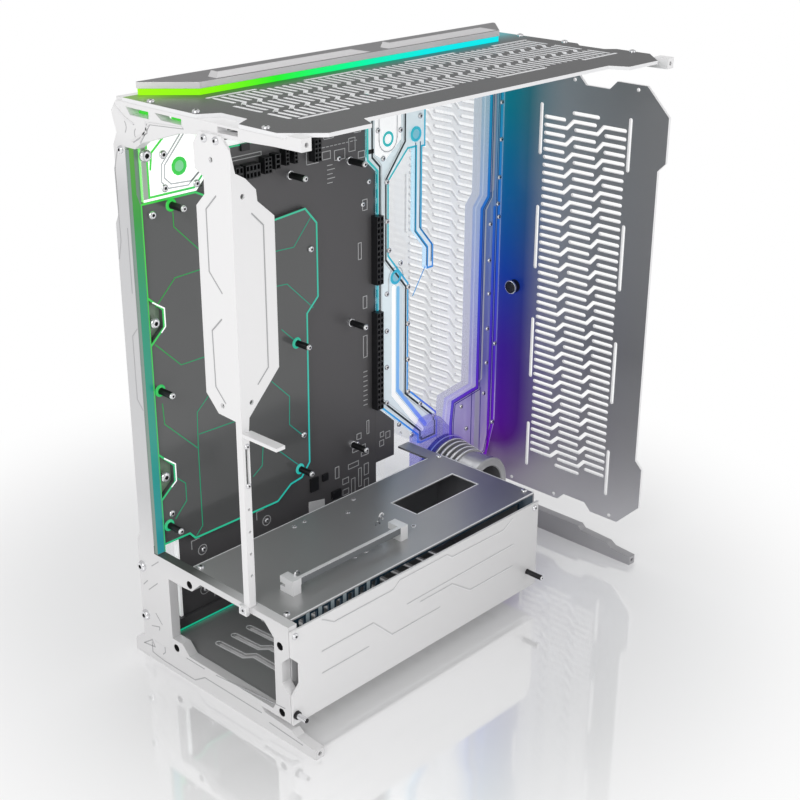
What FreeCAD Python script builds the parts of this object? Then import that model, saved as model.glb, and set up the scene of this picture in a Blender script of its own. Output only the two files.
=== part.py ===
"""Open-frame tower computer case: two machined end frames, a wall of clear channel plates and
a cable board between them, louvred front and top panels, and a power supply tunnel below."""

import FreeCAD
import Part
import math
import os
from collections import namedtuple

# Axes while modelling: x runs from the rear frame to the front, the window side is -y,
# z = 0 is the underside of the end frames. All sizes are millimetres.

# Overall
frame_span = 447.0        # outside of the rear frame to outside of the front frame
frame_t = 9.0             # plate thickness of both end frames
frame_h = 485.0           # underside of a frame to the top edge of its arm
reach = 184.0             # wall datum to the tips of the arms and feet
foot_h = 21.0             # height of the feet below the frames
sheet_t = 3.0             # louvred panels
fold_t = 2.0              # folded sheet parts
fit = 0.3                 # clearance between neighbouring pieces
hole_fit = 0.2            # clearance round a screw shank
small_sides = 8           # flats round a small screw or hole
large_sides = 12          # flats round the pump and its ports

# Wall between the chambers
post_in = 17.0            # window-side face of the frame posts
post_out = 36.0           # back-chamber face of the frame posts
waist_step = 5.0          # how far the upper part of a post is set in
plinth_step = 4.0         # how far the lower part of a post stands out
wall_face = 24.0          # window-side face of the clear wall sheet
wall_t = 8.0
board_t = 4.0
cover_t = 4.7
channel_t = 6.0
strip_front = 4.0         # window-side face of the front channel strip
strip_joint = 14.0        # plane where the two layers of the front strip meet
rail_h = 15.0
rail_front = 8.0          # window-side face of the upper rail
reservoir_front = 10.0

# Arms and feet
tip_drop = 6.5            # arm tip: its underside below the arm's top edge
tip_rise_run = 13.5       # length of the raised tip, measured back from its end
gusset_drop = 29.0
tip_bore_r = 1.75
tip_bore_l = 12.0
tip_bore_drop = 2.0       # axis of the arm's thread below its top edge
pad_l = 10.0              # pad behind the rear arm, under the notch of the top panel
pad_h = 5.0
foot_toe = 54.0           # back-chamber end of the foot
foot_tip_h = 9.0

# Power supply tunnel
tunnel_h = 92.0
surround_reach = 154.8    # window-side edge of the rear surround
open_h_low = 5.0
open_h_high = 86.0
open_in = 1.0             # wall-side edge of the rear opening
open_out = 137.0          # window-side edge of the rear opening
supply_hole_y = 6.0       # wall-side lower hole of the supply pattern
supply_hole_z = 6.0
supply_span = 138.0
supply_rise = 64.0
supply_top_in = 24.0
supply_top_rise = 74.0
supply_bore_r = 2.0
supply_sink_r = 3.6
supply_sink_d = 7.0
tunnel_gap = 125.0        # front end of the tunnel to the outside of the front frame
shelf_out = 147.5         # window-side edge of the tunnel top plate
shelf_in = 24.5           # wall-side edge of the tunnel top plate
shelf_tab_l = 15.0
shelf_tab_in = 16.0       # how near the front tab comes to the wall
window_l = 86.0
window_end = 24.0         # cable window to the front end of the tunnel
window_y = (65.0, 98.0)
floor_z = 1.0
lug_l = 8.0
lug_w = 12.0
lug_h = 10.0
vent_low = 80.0
vent_high = 88.0
cover_out = 157.0         # outside of the white side cover
cover_short = 5.0         # how much shorter the side cover is than the tunnel
cover_top = 88.0
cover_low = -1.0
notch_z = (27.0, 64.0)
notch_d = 9.0

# Louvred panels, u along the length from the middle, w from the recessed window-side edge
panel_chamfer = 25.0
tab_l = 67.0              # length of the corner tabs
front_tab = 8.0           # how far the corner tabs of the front panel stand out
top_tab = 16.0            # the same on the top panel
front_notch = (71.5, 13.5, 8.0, 8.0)  # end notch: middle, half width, depth, run of its slopes
top_notch_rear = (72.5, 14.5, 16.0, 9.0)
top_notch_front = (67.0, 14.0, 8.0, 8.0)
slot_w = 3.8
line_pitch = 7.86
front_plain = 60.0        # plain length left at the ends of the louvres of the front panel
top_plain = 50.0          # the same on the top panel
right_run = (38.0, 62.0)
middle_run = (69.0, 97.0)
left_run = (105.0, 130.0)
step_w = 3.0              # how far a middle run of an upper zigzag is set over
border_w = (32.5, 135.5)
border_end = 31.0         # panel end to the outer border slots
border_outer_l = 47.0
border_inner = (28.0, 90.0)
front_hole_w = (26.5, 98.0, 155.0)
top_hole_w = (25.0, 101.0, 154.0)
panel_hole_in = 4.5
panel_hole_r = 1.9
front_panel_l = 443.0
front_panel_z = 237.5
front_shift = (0.8, -2.8)  # louvres and border slots off the panel's middle
front_panel_in = 26.0     # wall-side edge of the front panel
back_panel_out = 179.5    # outer edge of the back-chamber panel
top_shift = (-7.5, -12.0)
top_panel_in = 16.0

# Ridge along the top of the wall
ridge_end = (14.0, 10.0)  # how far the ridge stays short of the outsides of the frames
ridge_slope = 33.0        # length of its tapered ends
ridge_y = (-20.0, 16.0)
strip_h = 5.0
cap_h = 5.0
bar_h = 4.5
bar_y = (-17.0, -7.0)
bar_gap_x = (236.0, 258.0)  # gap between the two raised bars
bar_start = 66.0

# Cable board and its cover
board_x = (12.0, 279.0)
board_low_x = 36.0
board_notch = (76.0, 404.0)
board_step = 13.0         # how far the board steps back beside the channel plate's top
header_l = 8.5
header_d = 8.0
header_spans = ((272.0, 339.0), (143.0, 244.0))
cover_right = 200.0
cover_top_z = 403.0
cover_low_z = 97.0
standoff_r = 3.0
standoff_l = 20.0
standoff_bore_r = 1.5
standoff_bore_l = 10.0
standoff_x = 16.8
standoff_z = 396.3
standoff_columns = (0.0, 154.94, 227.33)
standoff_rows = (0.0, 154.94, 281.94)
standoff_corner = 22.86

# Pump
pump_z = 52.0
pump_r = 30.0
pump_rib_r = 36.0
pump_l = 52.0
pump_bore_r = 22.0
pump_bore_d = 26.0
collar_r = 31.0
collar_l = 10.0
flange_r = 38.5
flange_l = 5.0
rib_pitch = 6.0
rib_count = 5
rib_taper = 1.0           # how much smaller each rib is than the one before

# Slot cover bracket and small parts
bracket_y = 111.0         # outside of the bracket's window-side flange
bracket_in = 70.0
bracket_foot = 248.0
stem_x = 5.0
stem_in = 104.0
support_l = 39.0
support_w = 9.0
support_t = 3.0
groove_w = 1.2
groove_d = 0.7
riser_x = (35.0, 173.0)
riser_y = (107.0, 123.0)
riser_h = 14.0
riser_block_l = 9.0
riser_bar_w = 4.0
riser_bar_h = 6.0
knob_r = 7.0
knob_l = 9.0
knob_y = -16.0
knob_z = 237.0

V = FreeCAD.Vector
Round = namedtuple("Round", "u v r")
NORMAL = {"x": V(1, 0, 0), "y": V(0, 1, 0), "z": V(0, 0, 1)}


def at(axis, u, v, w):
    """Point u, v on the plane that stands at w along the axis."""
    return {"x": V(w, u, v), "y": V(u, w, v), "z": V(u, v, w)}[axis]


def loop(axis, shape, w):
    """Closed wire of a polygon or of a Round."""
    if isinstance(shape, Round):
        circle = Part.Circle(at(axis, shape.u, shape.v, w), NORMAL[axis], shape.r)
        return Part.Wire(circle.toShape())
    corners = [at(axis, u, v, w) for u, v in shape]
    return Part.makePolygon(corners + corners[:1])


def plate(axis, outline, a, b, holes=()):
    """Flat piece between the planes a and b, with its through holes."""
    wires = [loop(axis, shape, a) for shape in [outline, *holes]]
    face = Part.makeFace(wires, "Part::FaceMakerBullseye")
    return face.extrude(at(axis, 0, 0, b - a))


def block(x, y, z):
    """Rectangular block between two values on each axis."""
    size = [max(pair) - min(pair) for pair in (x, y, z)]
    return Part.makeBox(*size, V(min(x), min(y), min(z)))


def rod(axis, u, v, r, a, b):
    """Cylinder along the axis from a to b."""
    return Part.makeCylinder(r, abs(b - a), at(axis, u, v, min(a, b)), NORMAL[axis])


def ring(u, v, r, sides=small_sides):
    """Corners of an even polygon whose flats lie r away from its middle."""
    out = r / math.cos(math.pi / sides)
    turns = [(k + 0.5) * 2 * math.pi / sides for k in range(sides)]
    return [(u + out * math.cos(t), v + out * math.sin(t)) for t in turns]


def prism(axis, u, v, r, a, b, sides=small_sides):
    """Straight bar of that section along the axis from a to b."""
    return plate(axis, ring(u, v, r, sides), a, b)


def screw(axis, u, v, seat, way, head_r, shank_l):
    """Round-head screw on its seat, the head towards way (+1 or -1)."""
    head = prism(axis, u, v, head_r, seat, seat + way * 0.7 * head_r)
    shank = prism(axis, u, v, head_r / 2, seat, seat - way * shank_l)
    return head.fuse(shank)


def corner_normals(points, closed):
    """Mitre direction at each point of a path."""
    count = len(points)
    result = []
    for i, here in enumerate(points):
        before = points[i - 1] if closed or i else None
        after = points[(i + 1) % count] if closed or i < count - 1 else None
        sides = []
        for start, end in ((before, here), (here, after)):
            if start is None or end is None:
                continue
            length = math.dist(start, end)
            sides.append(((start[1] - end[1]) / length, (end[0] - start[0]) / length))
        first, last = sides[0], sides[-1]
        scale = 1.0 + first[0] * last[0] + first[1] * last[1]
        result.append(((first[0] + last[0]) / scale, (first[1] + last[1]) / scale))
    return result


def band(path, width):
    """Outline of a strip of even width along an open path."""
    half = width / 2
    turns = corner_normals(path, False)
    left = [(u + half * n[0], v + half * n[1]) for (u, v), n in zip(path, turns)]
    right = [(u - half * n[0], v - half * n[1]) for (u, v), n in zip(path, turns)]
    return left + right[::-1]


def inset(points, distance):
    """Polygon drawn in by a distance."""
    area = sum(p[0] * q[1] - q[0] * p[1] for p, q in zip(points, points[1:] + points[:1]))
    way = math.copysign(distance, area)
    turns = corner_normals(points, True)
    return [(u + way * n[0], v + way * n[1]) for (u, v), n in zip(points, turns)]


def grooves(axis, paths, surface, way):
    """Shallow engraved lines, cut into a surface whose outside lies towards way."""
    cuts = [plate(axis, band(path, groove_w), surface - way * groove_d, surface + way) for path in paths]
    return Part.makeCompound(cuts)


# Heights and depths that several pieces share
top_z = frame_h + sheet_t
board_face = wall_face - board_t
channel_face = wall_face - channel_t
wall_x = (frame_t + fit, frame_span - frame_t - fit)
wall_z = (rail_h + fit, frame_h - rail_h - fit)
shelf_z = tunnel_h - fold_t
front_face = frame_span + sheet_t
ridge_z = top_z + strip_h
tunnel_l = frame_span - tunnel_gap
cover_l = tunnel_l - cover_short
pieces = {}


# End frames: post, arm and, at the rear, the surround of the power supply
def frame_outline(surround):
    """Side view of an end frame, going round from the foot of its post."""
    tip = -reach
    post = [(post_out + plinth_step, 0), (post_out + plinth_step, 100), (post_out, 106),
            (post_out, frame_h - 100), (post_out - waist_step, frame_h - 90),
            (post_out - waist_step, frame_h - 35), (post_out - 2 * waist_step, frame_h - 25),
            (post_out - waist_step, frame_h - 9), (post_out - 12, frame_h)]
    arm = [(tip + tip_rise_run + 2.3, frame_h), (tip + tip_rise_run, top_z), (tip, top_z),
           (tip, frame_h - tip_drop), (-155, frame_h - 7), (-76, frame_h - 11), (-52, frame_h - 14),
           (-5, frame_h - gusset_drop), (4, frame_h - gusset_drop - 6), (post_in, frame_h - gusset_drop - 6)]
    edge = -surround_reach
    low, high = notch_z
    rear = [(post_in, tunnel_h), (edge, tunnel_h), (edge, high), (edge + notch_d, high - notch_d),
            (edge + notch_d, low + notch_d), (edge, low), (edge, 0)]
    front = [(post_in, 34), (post_in - 34, 0)]
    return post + arm + (rear if surround else front)


def arm_windows():
    """Two tapered windows by the post and a short one half way along the arm."""
    z = frame_h
    return [[(12, z - 3.5), (-16, z - 3.5), (-16, z - 9), (7, z - 9)],
            [(-24, z - 3), (-55, z - 3), (-55, z - 7.5), (-31, z - 7.5)],
            [(-96, z - 2), (-118, z - 2), (-118, z - 6), (-96, z - 6.5)]]


def supply_holes():
    """Four-hole pattern of the power supply, as (y, z)."""
    y, z = -supply_hole_y, supply_hole_z
    return [(y, z), (y - supply_span, z), (y - supply_span, z + supply_rise),
            (y - supply_top_in, z + supply_top_rise)]


def tip_bore(x_middle, z):
    return rod("y", x_middle, z, tip_bore_r, -reach, -reach + tip_bore_l)


panel_screw_y = [-(reach - top_tab) + w for w in top_hole_w]
panel_screw_x = [frame_t / 2, frame_span - frame_t / 2]
panel_shank = 2 * sheet_t
arm_screw_r = 3.2


def arm_screw_holes(x):
    low = frame_h - panel_shank
    return [prism("z", x, y, arm_screw_r / 2 + hole_fit, low, frame_h) for y in panel_screw_y]


opening = [(-open_in, 74), (-22, 74), (-33, 75), (-45, open_h_high), (-open_out + 11, open_h_high),
           (-open_out, open_h_high - 11), (-open_out, 12), (-open_out + 4, open_h_low), (-24, open_h_low),
           (-15, 14), (-open_in, 14)]
rear = plate("x", frame_outline(True), 0, frame_t, [opening, *arm_windows()])
rear_cuts = [rod("x", y, z, supply_bore_r, 0, frame_t) for y, z in supply_holes()]
rear_cuts += [prism("x", y, z, supply_sink_r, 0, supply_sink_d) for y, z in supply_holes()]
rear_cuts += arm_screw_holes(panel_screw_x[0])
rear_cuts.append(tip_bore(frame_t / 2, frame_h - tip_bore_drop))
rear = rear.cut(Part.makeCompound(rear_cuts))
lug_z = shelf_z - lug_h
lug_x = (frame_t, frame_t + lug_l)
lug_y = [(-shelf_in - lug_w, -shelf_in), (-shelf_out + fold_t + fit, -shelf_out + fold_t + fit + lug_w)]
for pair in lug_y:
    rear = rear.fuse(block(lug_x, pair, (lug_z, shelf_z)))
pad_middle = -(reach - top_tab) + top_notch_rear[0]
pad_y = (pad_middle - 34, pad_middle + 34)
rear = rear.fuse(block((frame_t, frame_t + pad_l), pad_y, (frame_h - pad_h, frame_h)))
pieces["rear_frame"] = rear

front = plate("x", frame_outline(False), frame_span - frame_t, frame_span, arm_windows())
front_cuts = arm_screw_holes(panel_screw_x[1])
front_cuts.append(tip_bore(panel_screw_x[1], frame_h - tip_bore_drop))
pieces["front_frame"] = front.cut(Part.makeCompound(front_cuts))

# Feet: long bars under the frames
foot_outline = [(foot_toe, -foot_h), (foot_toe, -foot_h + 12), (post_out + plinth_step + 3, 0), (-118, 0),
                (-122, -4), (-155, -6), (-161, -10), (-reach, -foot_h + foot_tip_h), (-reach, -foot_h)]
for name, x in (("rear_foot", 0.0), ("front_foot", frame_span - frame_t)):
    foot = plate("x", foot_outline, x, x + frame_t)
    pieces[name] = foot.cut(tip_bore(x + frame_t / 2, -foot_h + foot_tip_h / 2))

# Rails along the wall, between the frames
pieces["upper_rail"] = block(wall_x, (rail_front, post_out), (frame_h - rail_h, frame_h))
pieces["lower_rail"] = block(wall_x, (post_in, post_out), (0, rail_h))


# Louvred panels
def panel_outline(length, tab, back, notches):
    """Panel seen flat: u along its length, w from the recessed edge to the wall."""
    half = length / 2
    near = half - tab_l
    ends = []
    for middle, side, deep, run in notches:
        ends.append([(near - 8, 0), (near, -tab), (half - panel_chamfer, -tab), (half, panel_chamfer - tab),
                     (half, middle - side - run), (half - deep, middle - side),
                     (half - deep, middle + side), (half, middle + side + run), (half, back)])
    return ends[0] + [(-u, w) for u, w in reversed(ends[1])]


def louvre_count(length, plain):
    return 2 * int((length - plain) / line_pitch / 2)


def border_slots(length, shift):
    """Long slots beside the louvres, near the panel's edges."""
    slots = []
    end = length / 2 - border_end
    for w in border_w:
        for way in (-1, 1):
            for a, b in ((end - border_outer_l, end), border_inner):
                slots.append([(way * a + shift, w), (way * b + shift, w)])
    return slots


def louvres(length, plain, shift, fill):
    """Rows of long zigzag slots, the short slots that fill them out, and the border slots."""
    slots = border_slots(length, shift[1])
    count = louvre_count(length, plain)
    top = (count - 1) * line_pitch / 2 + shift[0]
    for line in range(count):
        u = top - line * line_pitch
        lower = u - line_pitch
        right = [(u, right_run[0]), (u, right_run[1] - step_w)]
        left = [(u, left_run[0] + step_w), (u, left_run[1])]
        if line in (0, count - 1):
            slots.append([(u, middle_run[0]), (u, middle_run[1])])
        elif line % 2 == 0:
            slots += [right] if fill else []
        else:
            slots.append([(u, right_run[0]), (u, right_run[1]), (lower, middle_run[0]),
                          (lower, middle_run[1] - step_w)])
            slots.append([(u, middle_run[0] + step_w), (u, middle_run[1]), (lower, left_run[0]),
                          (lower, left_run[1])])
            slots += [left] if fill else []
    return [band(path, slot_w) for path in slots]


def straight_louvres(length, plain, shift):
    """Plain slots right across, one to a line."""
    slots = border_slots(length, shift[1])
    count = louvre_count(length, plain)
    for line in range(count):
        u = ((count - 1) / 2 - line) * line_pitch + shift[0]
        slots.append([(u, right_run[0]), (u, left_run[1])])
    return [band(path, slot_w) for path in slots]


def louvred_panel(axis, length, tab, back, notches, slots, hole_w, near, far, place):
    """Panel with its slots and holes, set into space by the place function."""
    end = length / 2 - panel_hole_in
    spots = [(u, w) for u in (-end, end) for w in hole_w if w < back]
    holes = [[place(*p) for p in slot] for slot in slots]
    holes += [ring(*place(u, w), panel_hole_r, 6) for u, w in spots]
    outline = [place(*p) for p in panel_outline(length, tab, back, notches)]
    return plate(axis, outline, near, far, holes)


front_edge = reach - front_tab
front_slots = louvres(front_panel_l, front_plain, front_shift, True)
front_ends = (front_notch, front_notch)
pieces["front_panel"] = louvred_panel(
    "x", front_panel_l, front_tab, front_edge + front_panel_in, front_ends, front_slots, front_hole_w,
    frame_span, front_face, lambda u, w: (w - front_edge, front_panel_z + u))
back_edge = back_panel_out - front_tab
back_slots = straight_louvres(front_panel_l, front_plain, front_shift)
pieces["back_chamber_panel"] = louvred_panel(
    "x", front_panel_l, front_tab, back_edge - front_panel_in - fit, front_ends, back_slots, front_hole_w,
    frame_span, front_face, lambda u, w: (back_edge - w, front_panel_z + u))
top_edge = reach - top_tab
pieces["top_panel"] = louvred_panel(
    "z", frame_span - 2 * fit, top_tab, top_edge + top_panel_in, (top_notch_rear, top_notch_front),
    louvres(frame_span, top_plain, top_shift, False), top_hole_w, frame_h, top_z,
    lambda u, w: (frame_span / 2 - u, w - top_edge))

# Ridge: glowing acrylic strip under a machined cap with two raised bars
ridge_x = (ridge_end[0], frame_span - ridge_end[1])
ridge_flat = (ridge_x[0] + ridge_slope, ridge_x[1] - ridge_slope)
bars_x = ((bar_start, bar_gap_x[0]), (bar_gap_x[1], ridge_flat[1]))
ridge_outline = [(ridge_x[0], ridge_y[1]), (ridge_x[0], ridge_y[1] - 3), (ridge_flat[0], ridge_y[0]),
                 (ridge_flat[1], ridge_y[0]), (ridge_x[1], ridge_y[1] - 3), (ridge_x[1], ridge_y[1])]
pieces["ridge_light_strip"] = plate("z", inset(ridge_outline, 0.6), top_z, ridge_z)
cap = plate("z", ridge_outline, ridge_z, ridge_z + cap_h)
for x0, x1 in bars_x:
    bar_low = [(x0, bar_y[0]), (x1, bar_y[0]), (x1, bar_y[1]), (x0, bar_y[1])]
    bar_high = [(x0 + 3, bar_y[0] + 2), (x1 - 22, bar_y[0] + 2), (x1 - 22, bar_y[1]), (x0 + 3, bar_y[1])]
    low = loop("z", bar_low, ridge_z + cap_h)
    high = loop("z", bar_high, ridge_z + cap_h + bar_h)
    cap = cap.fuse(Part.makeLoft([low, high], True, True))
pieces["ridge_cap"] = cap

# Clear wall sheet behind everything
pieces["wall_sheet"] = block(wall_x, (wall_face, wall_face + wall_t), wall_z)

# Cable board with its headers and standoffs
board_outline = [(board_low_x, wall_z[0]), (board_low_x, 96), (board_x[0], 104),
                 (board_x[0], board_notch[1]),
                 (board_notch[0], board_notch[1]), (board_notch[0], wall_z[1]),
                 (board_x[1] - board_step, wall_z[1]), (board_x[1] - board_step, 392),
                 (board_x[1], 380), (board_x[1], wall_z[0])]
pieces["cable_board"] = plate("y", board_outline, board_face, wall_face)


def standoff_spots():
    """Nine board standoffs as (x, z); the one at the top rear corner is set forward."""
    spots = []
    for i, column in enumerate(standoff_columns):
        for k, row in enumerate(standoff_rows):
            forward = standoff_corner if i == 0 and k == 0 else 0.0
            spots.append((standoff_x + column + forward, standoff_z - row))
    return spots


standoffs = []
for x, z in standoff_spots():
    end = board_face - standoff_l
    standoffs.append(prism("y", x, z, standoff_r, end, board_face, 6).cut(
        rod("y", x, z, standoff_bore_r, end, end + standoff_bore_l)))
pieces["board_standoffs"] = Part.makeCompound(standoffs)

header_right = board_x[1] + 3
header_x = (header_right - header_l, header_right)
for name, span in zip(("board_header_upper", "board_header_lower"), header_spans):
    shell = block(header_x, (board_face - header_d, board_face), span)
    relief = block((board_x[1], header_right), (channel_face - fit, board_face), span)
    pieces[name] = shell.cut(relief)
small_headers = [(106, 8, 403, 12), (117, 16, 403, 12), (138, 8, 404, 14), (150, 6, 406, 13),
                 (162, 4, 407, 14), (172, 4, 407, 14), (196, 8, 404, 20)]
pieces["board_top_headers"] = Part.makeCompound(
    [block((x, x + w), (board_face - header_d, board_face), (z, z + h)) for x, w, z, h in small_headers])

# Smoked cover over the lower part of the board
cover_face = board_face - cover_t
left = frame_t + fit
cover_dip = cover_low_z - 7
cover_outline = [(left, cover_low_z), (38, cover_low_z), (44, cover_dip), (143, cover_dip), (160, 102),
                 (174, 104), (185, 117), (186, 266), (cover_right, 279), (cover_right, 349), (186, 365),
                 (147, 362), (65, cover_top_z), (left, cover_top_z), (left, 324), (24, 311), (24, 296),
                 (left, 283), (left, 184), (25, 169), (25, 154), (left, 141)]
covered = [(x, z) for x, z in standoff_spots() if z < 400 and (x < 60 or (x < 180 and z < 300))]
hole_r = standoff_r + hole_fit
cover_holes = [ring(x, z, hole_r, 6) for x, z in covered if x > 20]
edge_holes = [prism("y", x, z, hole_r, cover_face, board_face, 6) for x, z in covered if x < 20]
cover_plate = plate("y", cover_outline, cover_face, board_face, cover_holes)
pieces["board_cover"] = cover_plate.cut(Part.makeCompound(edge_holes))

# Light bar on the window-side face of the rear post
light_top = frame_h - 37
pieces["edge_light_bar"] = block((0.5, frame_t), (post_in - 4.3, post_in), (tunnel_h + fit, light_top))

# Corner reservoir with its port
reservoir_outline = [(left, 405), (62, 405), (72, 415), (72, wall_z[1]), (left, wall_z[1])]
port_r = 6.0
port_d = 4.0


def ported(block_shape, ports, face):
    """Block with a stepped port for a ring at each (x, z)."""
    sinks = [prism("y", x, z, port_r + 1.5, face, face + port_d, large_sides) for x, z in ports]
    return block_shape.cut(Part.makeCompound(sinks))


def port_rings(ports, face):
    rings = []
    for x, z in ports:
        hole = ring(x, z, port_r - 1, large_sides)
        rings.append(plate("y", ring(x, z, port_r + 1.3, large_sides), face - 0.5, face + port_d, [hole]))
    return Part.makeCompound(rings)


reservoir_port = [(46, 428)]
reservoir_block = plate("y", reservoir_outline, reservoir_front, wall_face)
pieces["corner_reservoir"] = ported(reservoir_block, reservoir_port, reservoir_front)
pieces["corner_port_ring"] = port_rings(reservoir_port, reservoir_front)

# Channel plate beside the board, with its sealing cord
def bay(share):
    """Place between the cable board and the front frame, as a share of that bay."""
    return board_x[1] + share * (wall_x[1] - board_x[1])


plate_left = board_x[1] + fit
notch_x = board_x[1] - board_step
channel_outline = [(notch_x + fit, wall_z[1]), (notch_x + fit, 392 + fit), (plate_left, 380 + fit),
                   (plate_left, 145), (bay(0.372), 93), (bay(0.372), 84), (bay(0.548), 84),
                   (bay(0.548), 112), (bay(0.277), 150), (bay(0.277), 262), (bay(0.101), 296),
                   (bay(0.101), 368), (bay(0.265), 394), (bay(0.331), 394), (bay(0.331), 312),
                   (bay(0.44), 292), (bay(0.44), 270), (bay(0.5), 270), (bay(0.5), 293),
                   (bay(0.39), 313), (bay(0.39), 393), (bay(0.416), 393), (bay(0.416), wall_z[1])]
channel_ports = [(bay(0.0945), 408), (bay(0.164), 272), (bay(0.334), 406.5)]
block_end = [p for p in channel_outline if p[0] <= bay(0.3) or p[1] < 120]
seal_path = inset(block_end + [(bay(0.265), wall_z[1])], 4.0)
seal_groove = plate("y", seal_path, wall_face - 1.6, wall_face, [inset(seal_path, 1.8)])
channel = plate("y", channel_outline, channel_face, wall_face)
pieces["channel_plate"] = ported(channel, channel_ports, channel_face).cut(seal_groove)
pieces["channel_seal"] = plate("y", inset(seal_path, 0.1), wall_face - 1.5, wall_face,
                               [inset(seal_path, 1.7)])
pieces["channel_port_rings"] = port_rings(channel_ports, channel_face)

# Front channel strip in two layers, its cord lying between them
strip_right = frame_span - 2.0
strip_left = [(bay(0.901), wall_z[1]), (bay(0.901), 332), (bay(0.838), 321), (bay(0.838), 130),
              (bay(0.599), 125), (bay(0.58), 100), (bay(0.58), 43), (bay(0.97), 43)]
gusset_low = frame_h - gusset_drop - 8
strip_outline = strip_left + [(strip_right, 80), (strip_right, gusset_low), (wall_x[1], gusset_low),
                              (wall_x[1], wall_z[1])]
backing_outline = strip_left + [(wall_x[1], 61), (wall_x[1], wall_z[1])]
strip_seal_path = inset(strip_outline, 4.0)
strip_groove = plate("y", strip_seal_path, strip_joint - 1.6, strip_joint, [inset(strip_seal_path, 1.8)])
strip = plate("y", strip_outline, strip_front, min(strip_joint, post_in - fit))
pieces["front_strip"] = strip.cut(strip_groove)
pieces["front_strip_seal"] = plate("y", inset(strip_seal_path, 0.1), strip_joint - 1.5, strip_joint,
                                   [inset(strip_seal_path, 1.7)])
pieces["front_strip_backing"] = plate("y", backing_outline, strip_joint, wall_face)

# Pump on its mounting block, axis along y
pump_x = bay(0.517)
mount_right = bay(0.58) - fit
mount_outline = [(bay(0.296), 50), (bay(0.347), 42), (mount_right, 42), (mount_right, 98), (bay(0.498), 112),
                 (bay(0.384), 112), (bay(0.296), 96)]
pieces["pump_mount"] = plate("y", mount_outline, strip_front, channel_face)


def stack(steps, bore_r, bore_from):
    """Round body about the pump's axis from (radius, y, next y) steps, bored from its window-side end."""
    body = None
    for r, start, end in steps:
        part = prism("y", pump_x, pump_z, r, start, end, large_sides)
        body = body.fuse(part) if body else part
    tip = min(end for _, _, end in steps)
    return body.cut(prism("y", pump_x, pump_z, bore_r, bore_from, tip, large_sides))


pump_end = strip_front - pump_l
steps = [(flange_r, strip_front, strip_front - flange_l), (pump_r, strip_front, pump_end)]
for rib in range(rib_count):
    start = strip_front - flange_l - (rib + 0.5) * rib_pitch
    steps.append((pump_rib_r - rib * rib_taper, start, start - rib_pitch / 2))
pieces["pump_body"] = stack(steps, pump_bore_r, pump_end + pump_bore_d)
lip_end = pump_end - collar_l
pieces["pump_collar"] = stack([(collar_r, pump_end, lip_end)], pump_bore_r, pump_end)
core_end = pump_end + pump_bore_d
pieces["pump_core"] = prism("y", pump_x, pump_z, pump_bore_r - 1, core_end - 8, core_end, large_sides)

# Slot cover bracket: one folded sheet with a rear flange, a window-side flange and a long stem
arm_low = frame_h - 10
bracket_top = frame_h - 8
rear_flange = [(-bracket_y + fold_t, 85), (-stem_in, 85), (-stem_in, 256), (-84, 257), (-bracket_in, 271),
               (-bracket_in, 421), (-80, 431), (-80, 444), (-bracket_in, 449), (-bracket_in, 468),
               (-77, bracket_top), (-101, bracket_top), (-bracket_y + fold_t, bracket_top - 8)]
side_flange = [(-fold_t, tunnel_h + fit), (stem_x, tunnel_h + fit), (stem_x, bracket_foot), (6, 259),
               (38, 292), (38, 413), (22, 427), (21, 436), (11, 446), (2, 451), (-fold_t, bracket_top - 8)]
rear_lines = [[(-93, 432), (-81, 420), (-81, 372), (-95, 358)],
              [(-93, 337), (-81, 325), (-82, 279), (-93, 268)]]
side_lines = [[(16, 419), (27, 408), (27, 295), (16, 284)]]
bracket = plate("x", rear_flange, -fold_t, 0, [ring(-89, 458, 2), ring(-89, 265, 2)])
side_holes = [ring(8, 433, 2), ring(9, 271, 2)] + [ring(2, z, 1.2) for z in (181, 161, 141, 121)]
slot_in_stem = [(0.5, 200), (3.5, 200), (3.5, 238), (0.5, 238)]
bracket = bracket.fuse(plate("y", side_flange, -bracket_y, -bracket_y + fold_t, side_holes + [slot_in_stem]))
bracket = bracket.cut(grooves("x", rear_lines, -fold_t, -1)).cut(grooves("y", side_lines, -bracket_y, -1))
pieces["slot_bracket"] = bracket
pieces["card_support"] = block((-fold_t, support_w - fold_t), (-bracket_y - support_l, -bracket_y),
                               (bracket_foot - support_t, bracket_foot))
pieces["stem_clamp"] = block((-fold_t - 3, -fold_t), (-bracket_y + 1, -stem_in + 3), (85, 93))

# Power supply tunnel: top plate, side wall with vents, floor and front end
wx = (tunnel_l - window_end - window_l, tunnel_l - window_end)
wy = window_y
shelf_tab_x = tunnel_l - shelf_tab_l
shelf_outline = [(frame_t + fit, -shelf_out), (tunnel_l, -shelf_out), (tunnel_l, shelf_tab_in),
                 (shelf_tab_x, shelf_tab_in), (shelf_tab_x, -shelf_in), (frame_t + fit, -shelf_in)]
window = [(wx[0], -wy[1]), (wx[1], -wy[1]), (wx[1], -wy[0]), (wx[0], -wy[0])]
lug_screws = [(lug_x[1] - lug_l / 2, (pair[0] + pair[1]) / 2) for pair in lug_y]
end_screws = [(tunnel_l - 5, y) for _, y in lug_screws]
shelf_screws = lug_screws + end_screws
tie_holes = [(193, -34), (171, -49), (131, -33), (118, -34), (130, -112), (117, -112), (193, -111)]
shelf_screw_r = 3.0
shelf_shank_r = shelf_screw_r / 2 + hole_fit
holes = [window] + [ring(x, y, shelf_shank_r) for x, y in shelf_screws]
holes += [ring(x, y, 1.5) for x, y in tie_holes]
pieces["shelf_plate"] = plate("z", shelf_outline, shelf_z, tunnel_h, holes)
rear_bores = [prism("z", x, y, shelf_shank_r, shelf_z - 5, shelf_z) for x, y in lug_screws]
pieces["rear_frame"] = pieces["rear_frame"].cut(Part.makeCompound(rear_bores))

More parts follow.
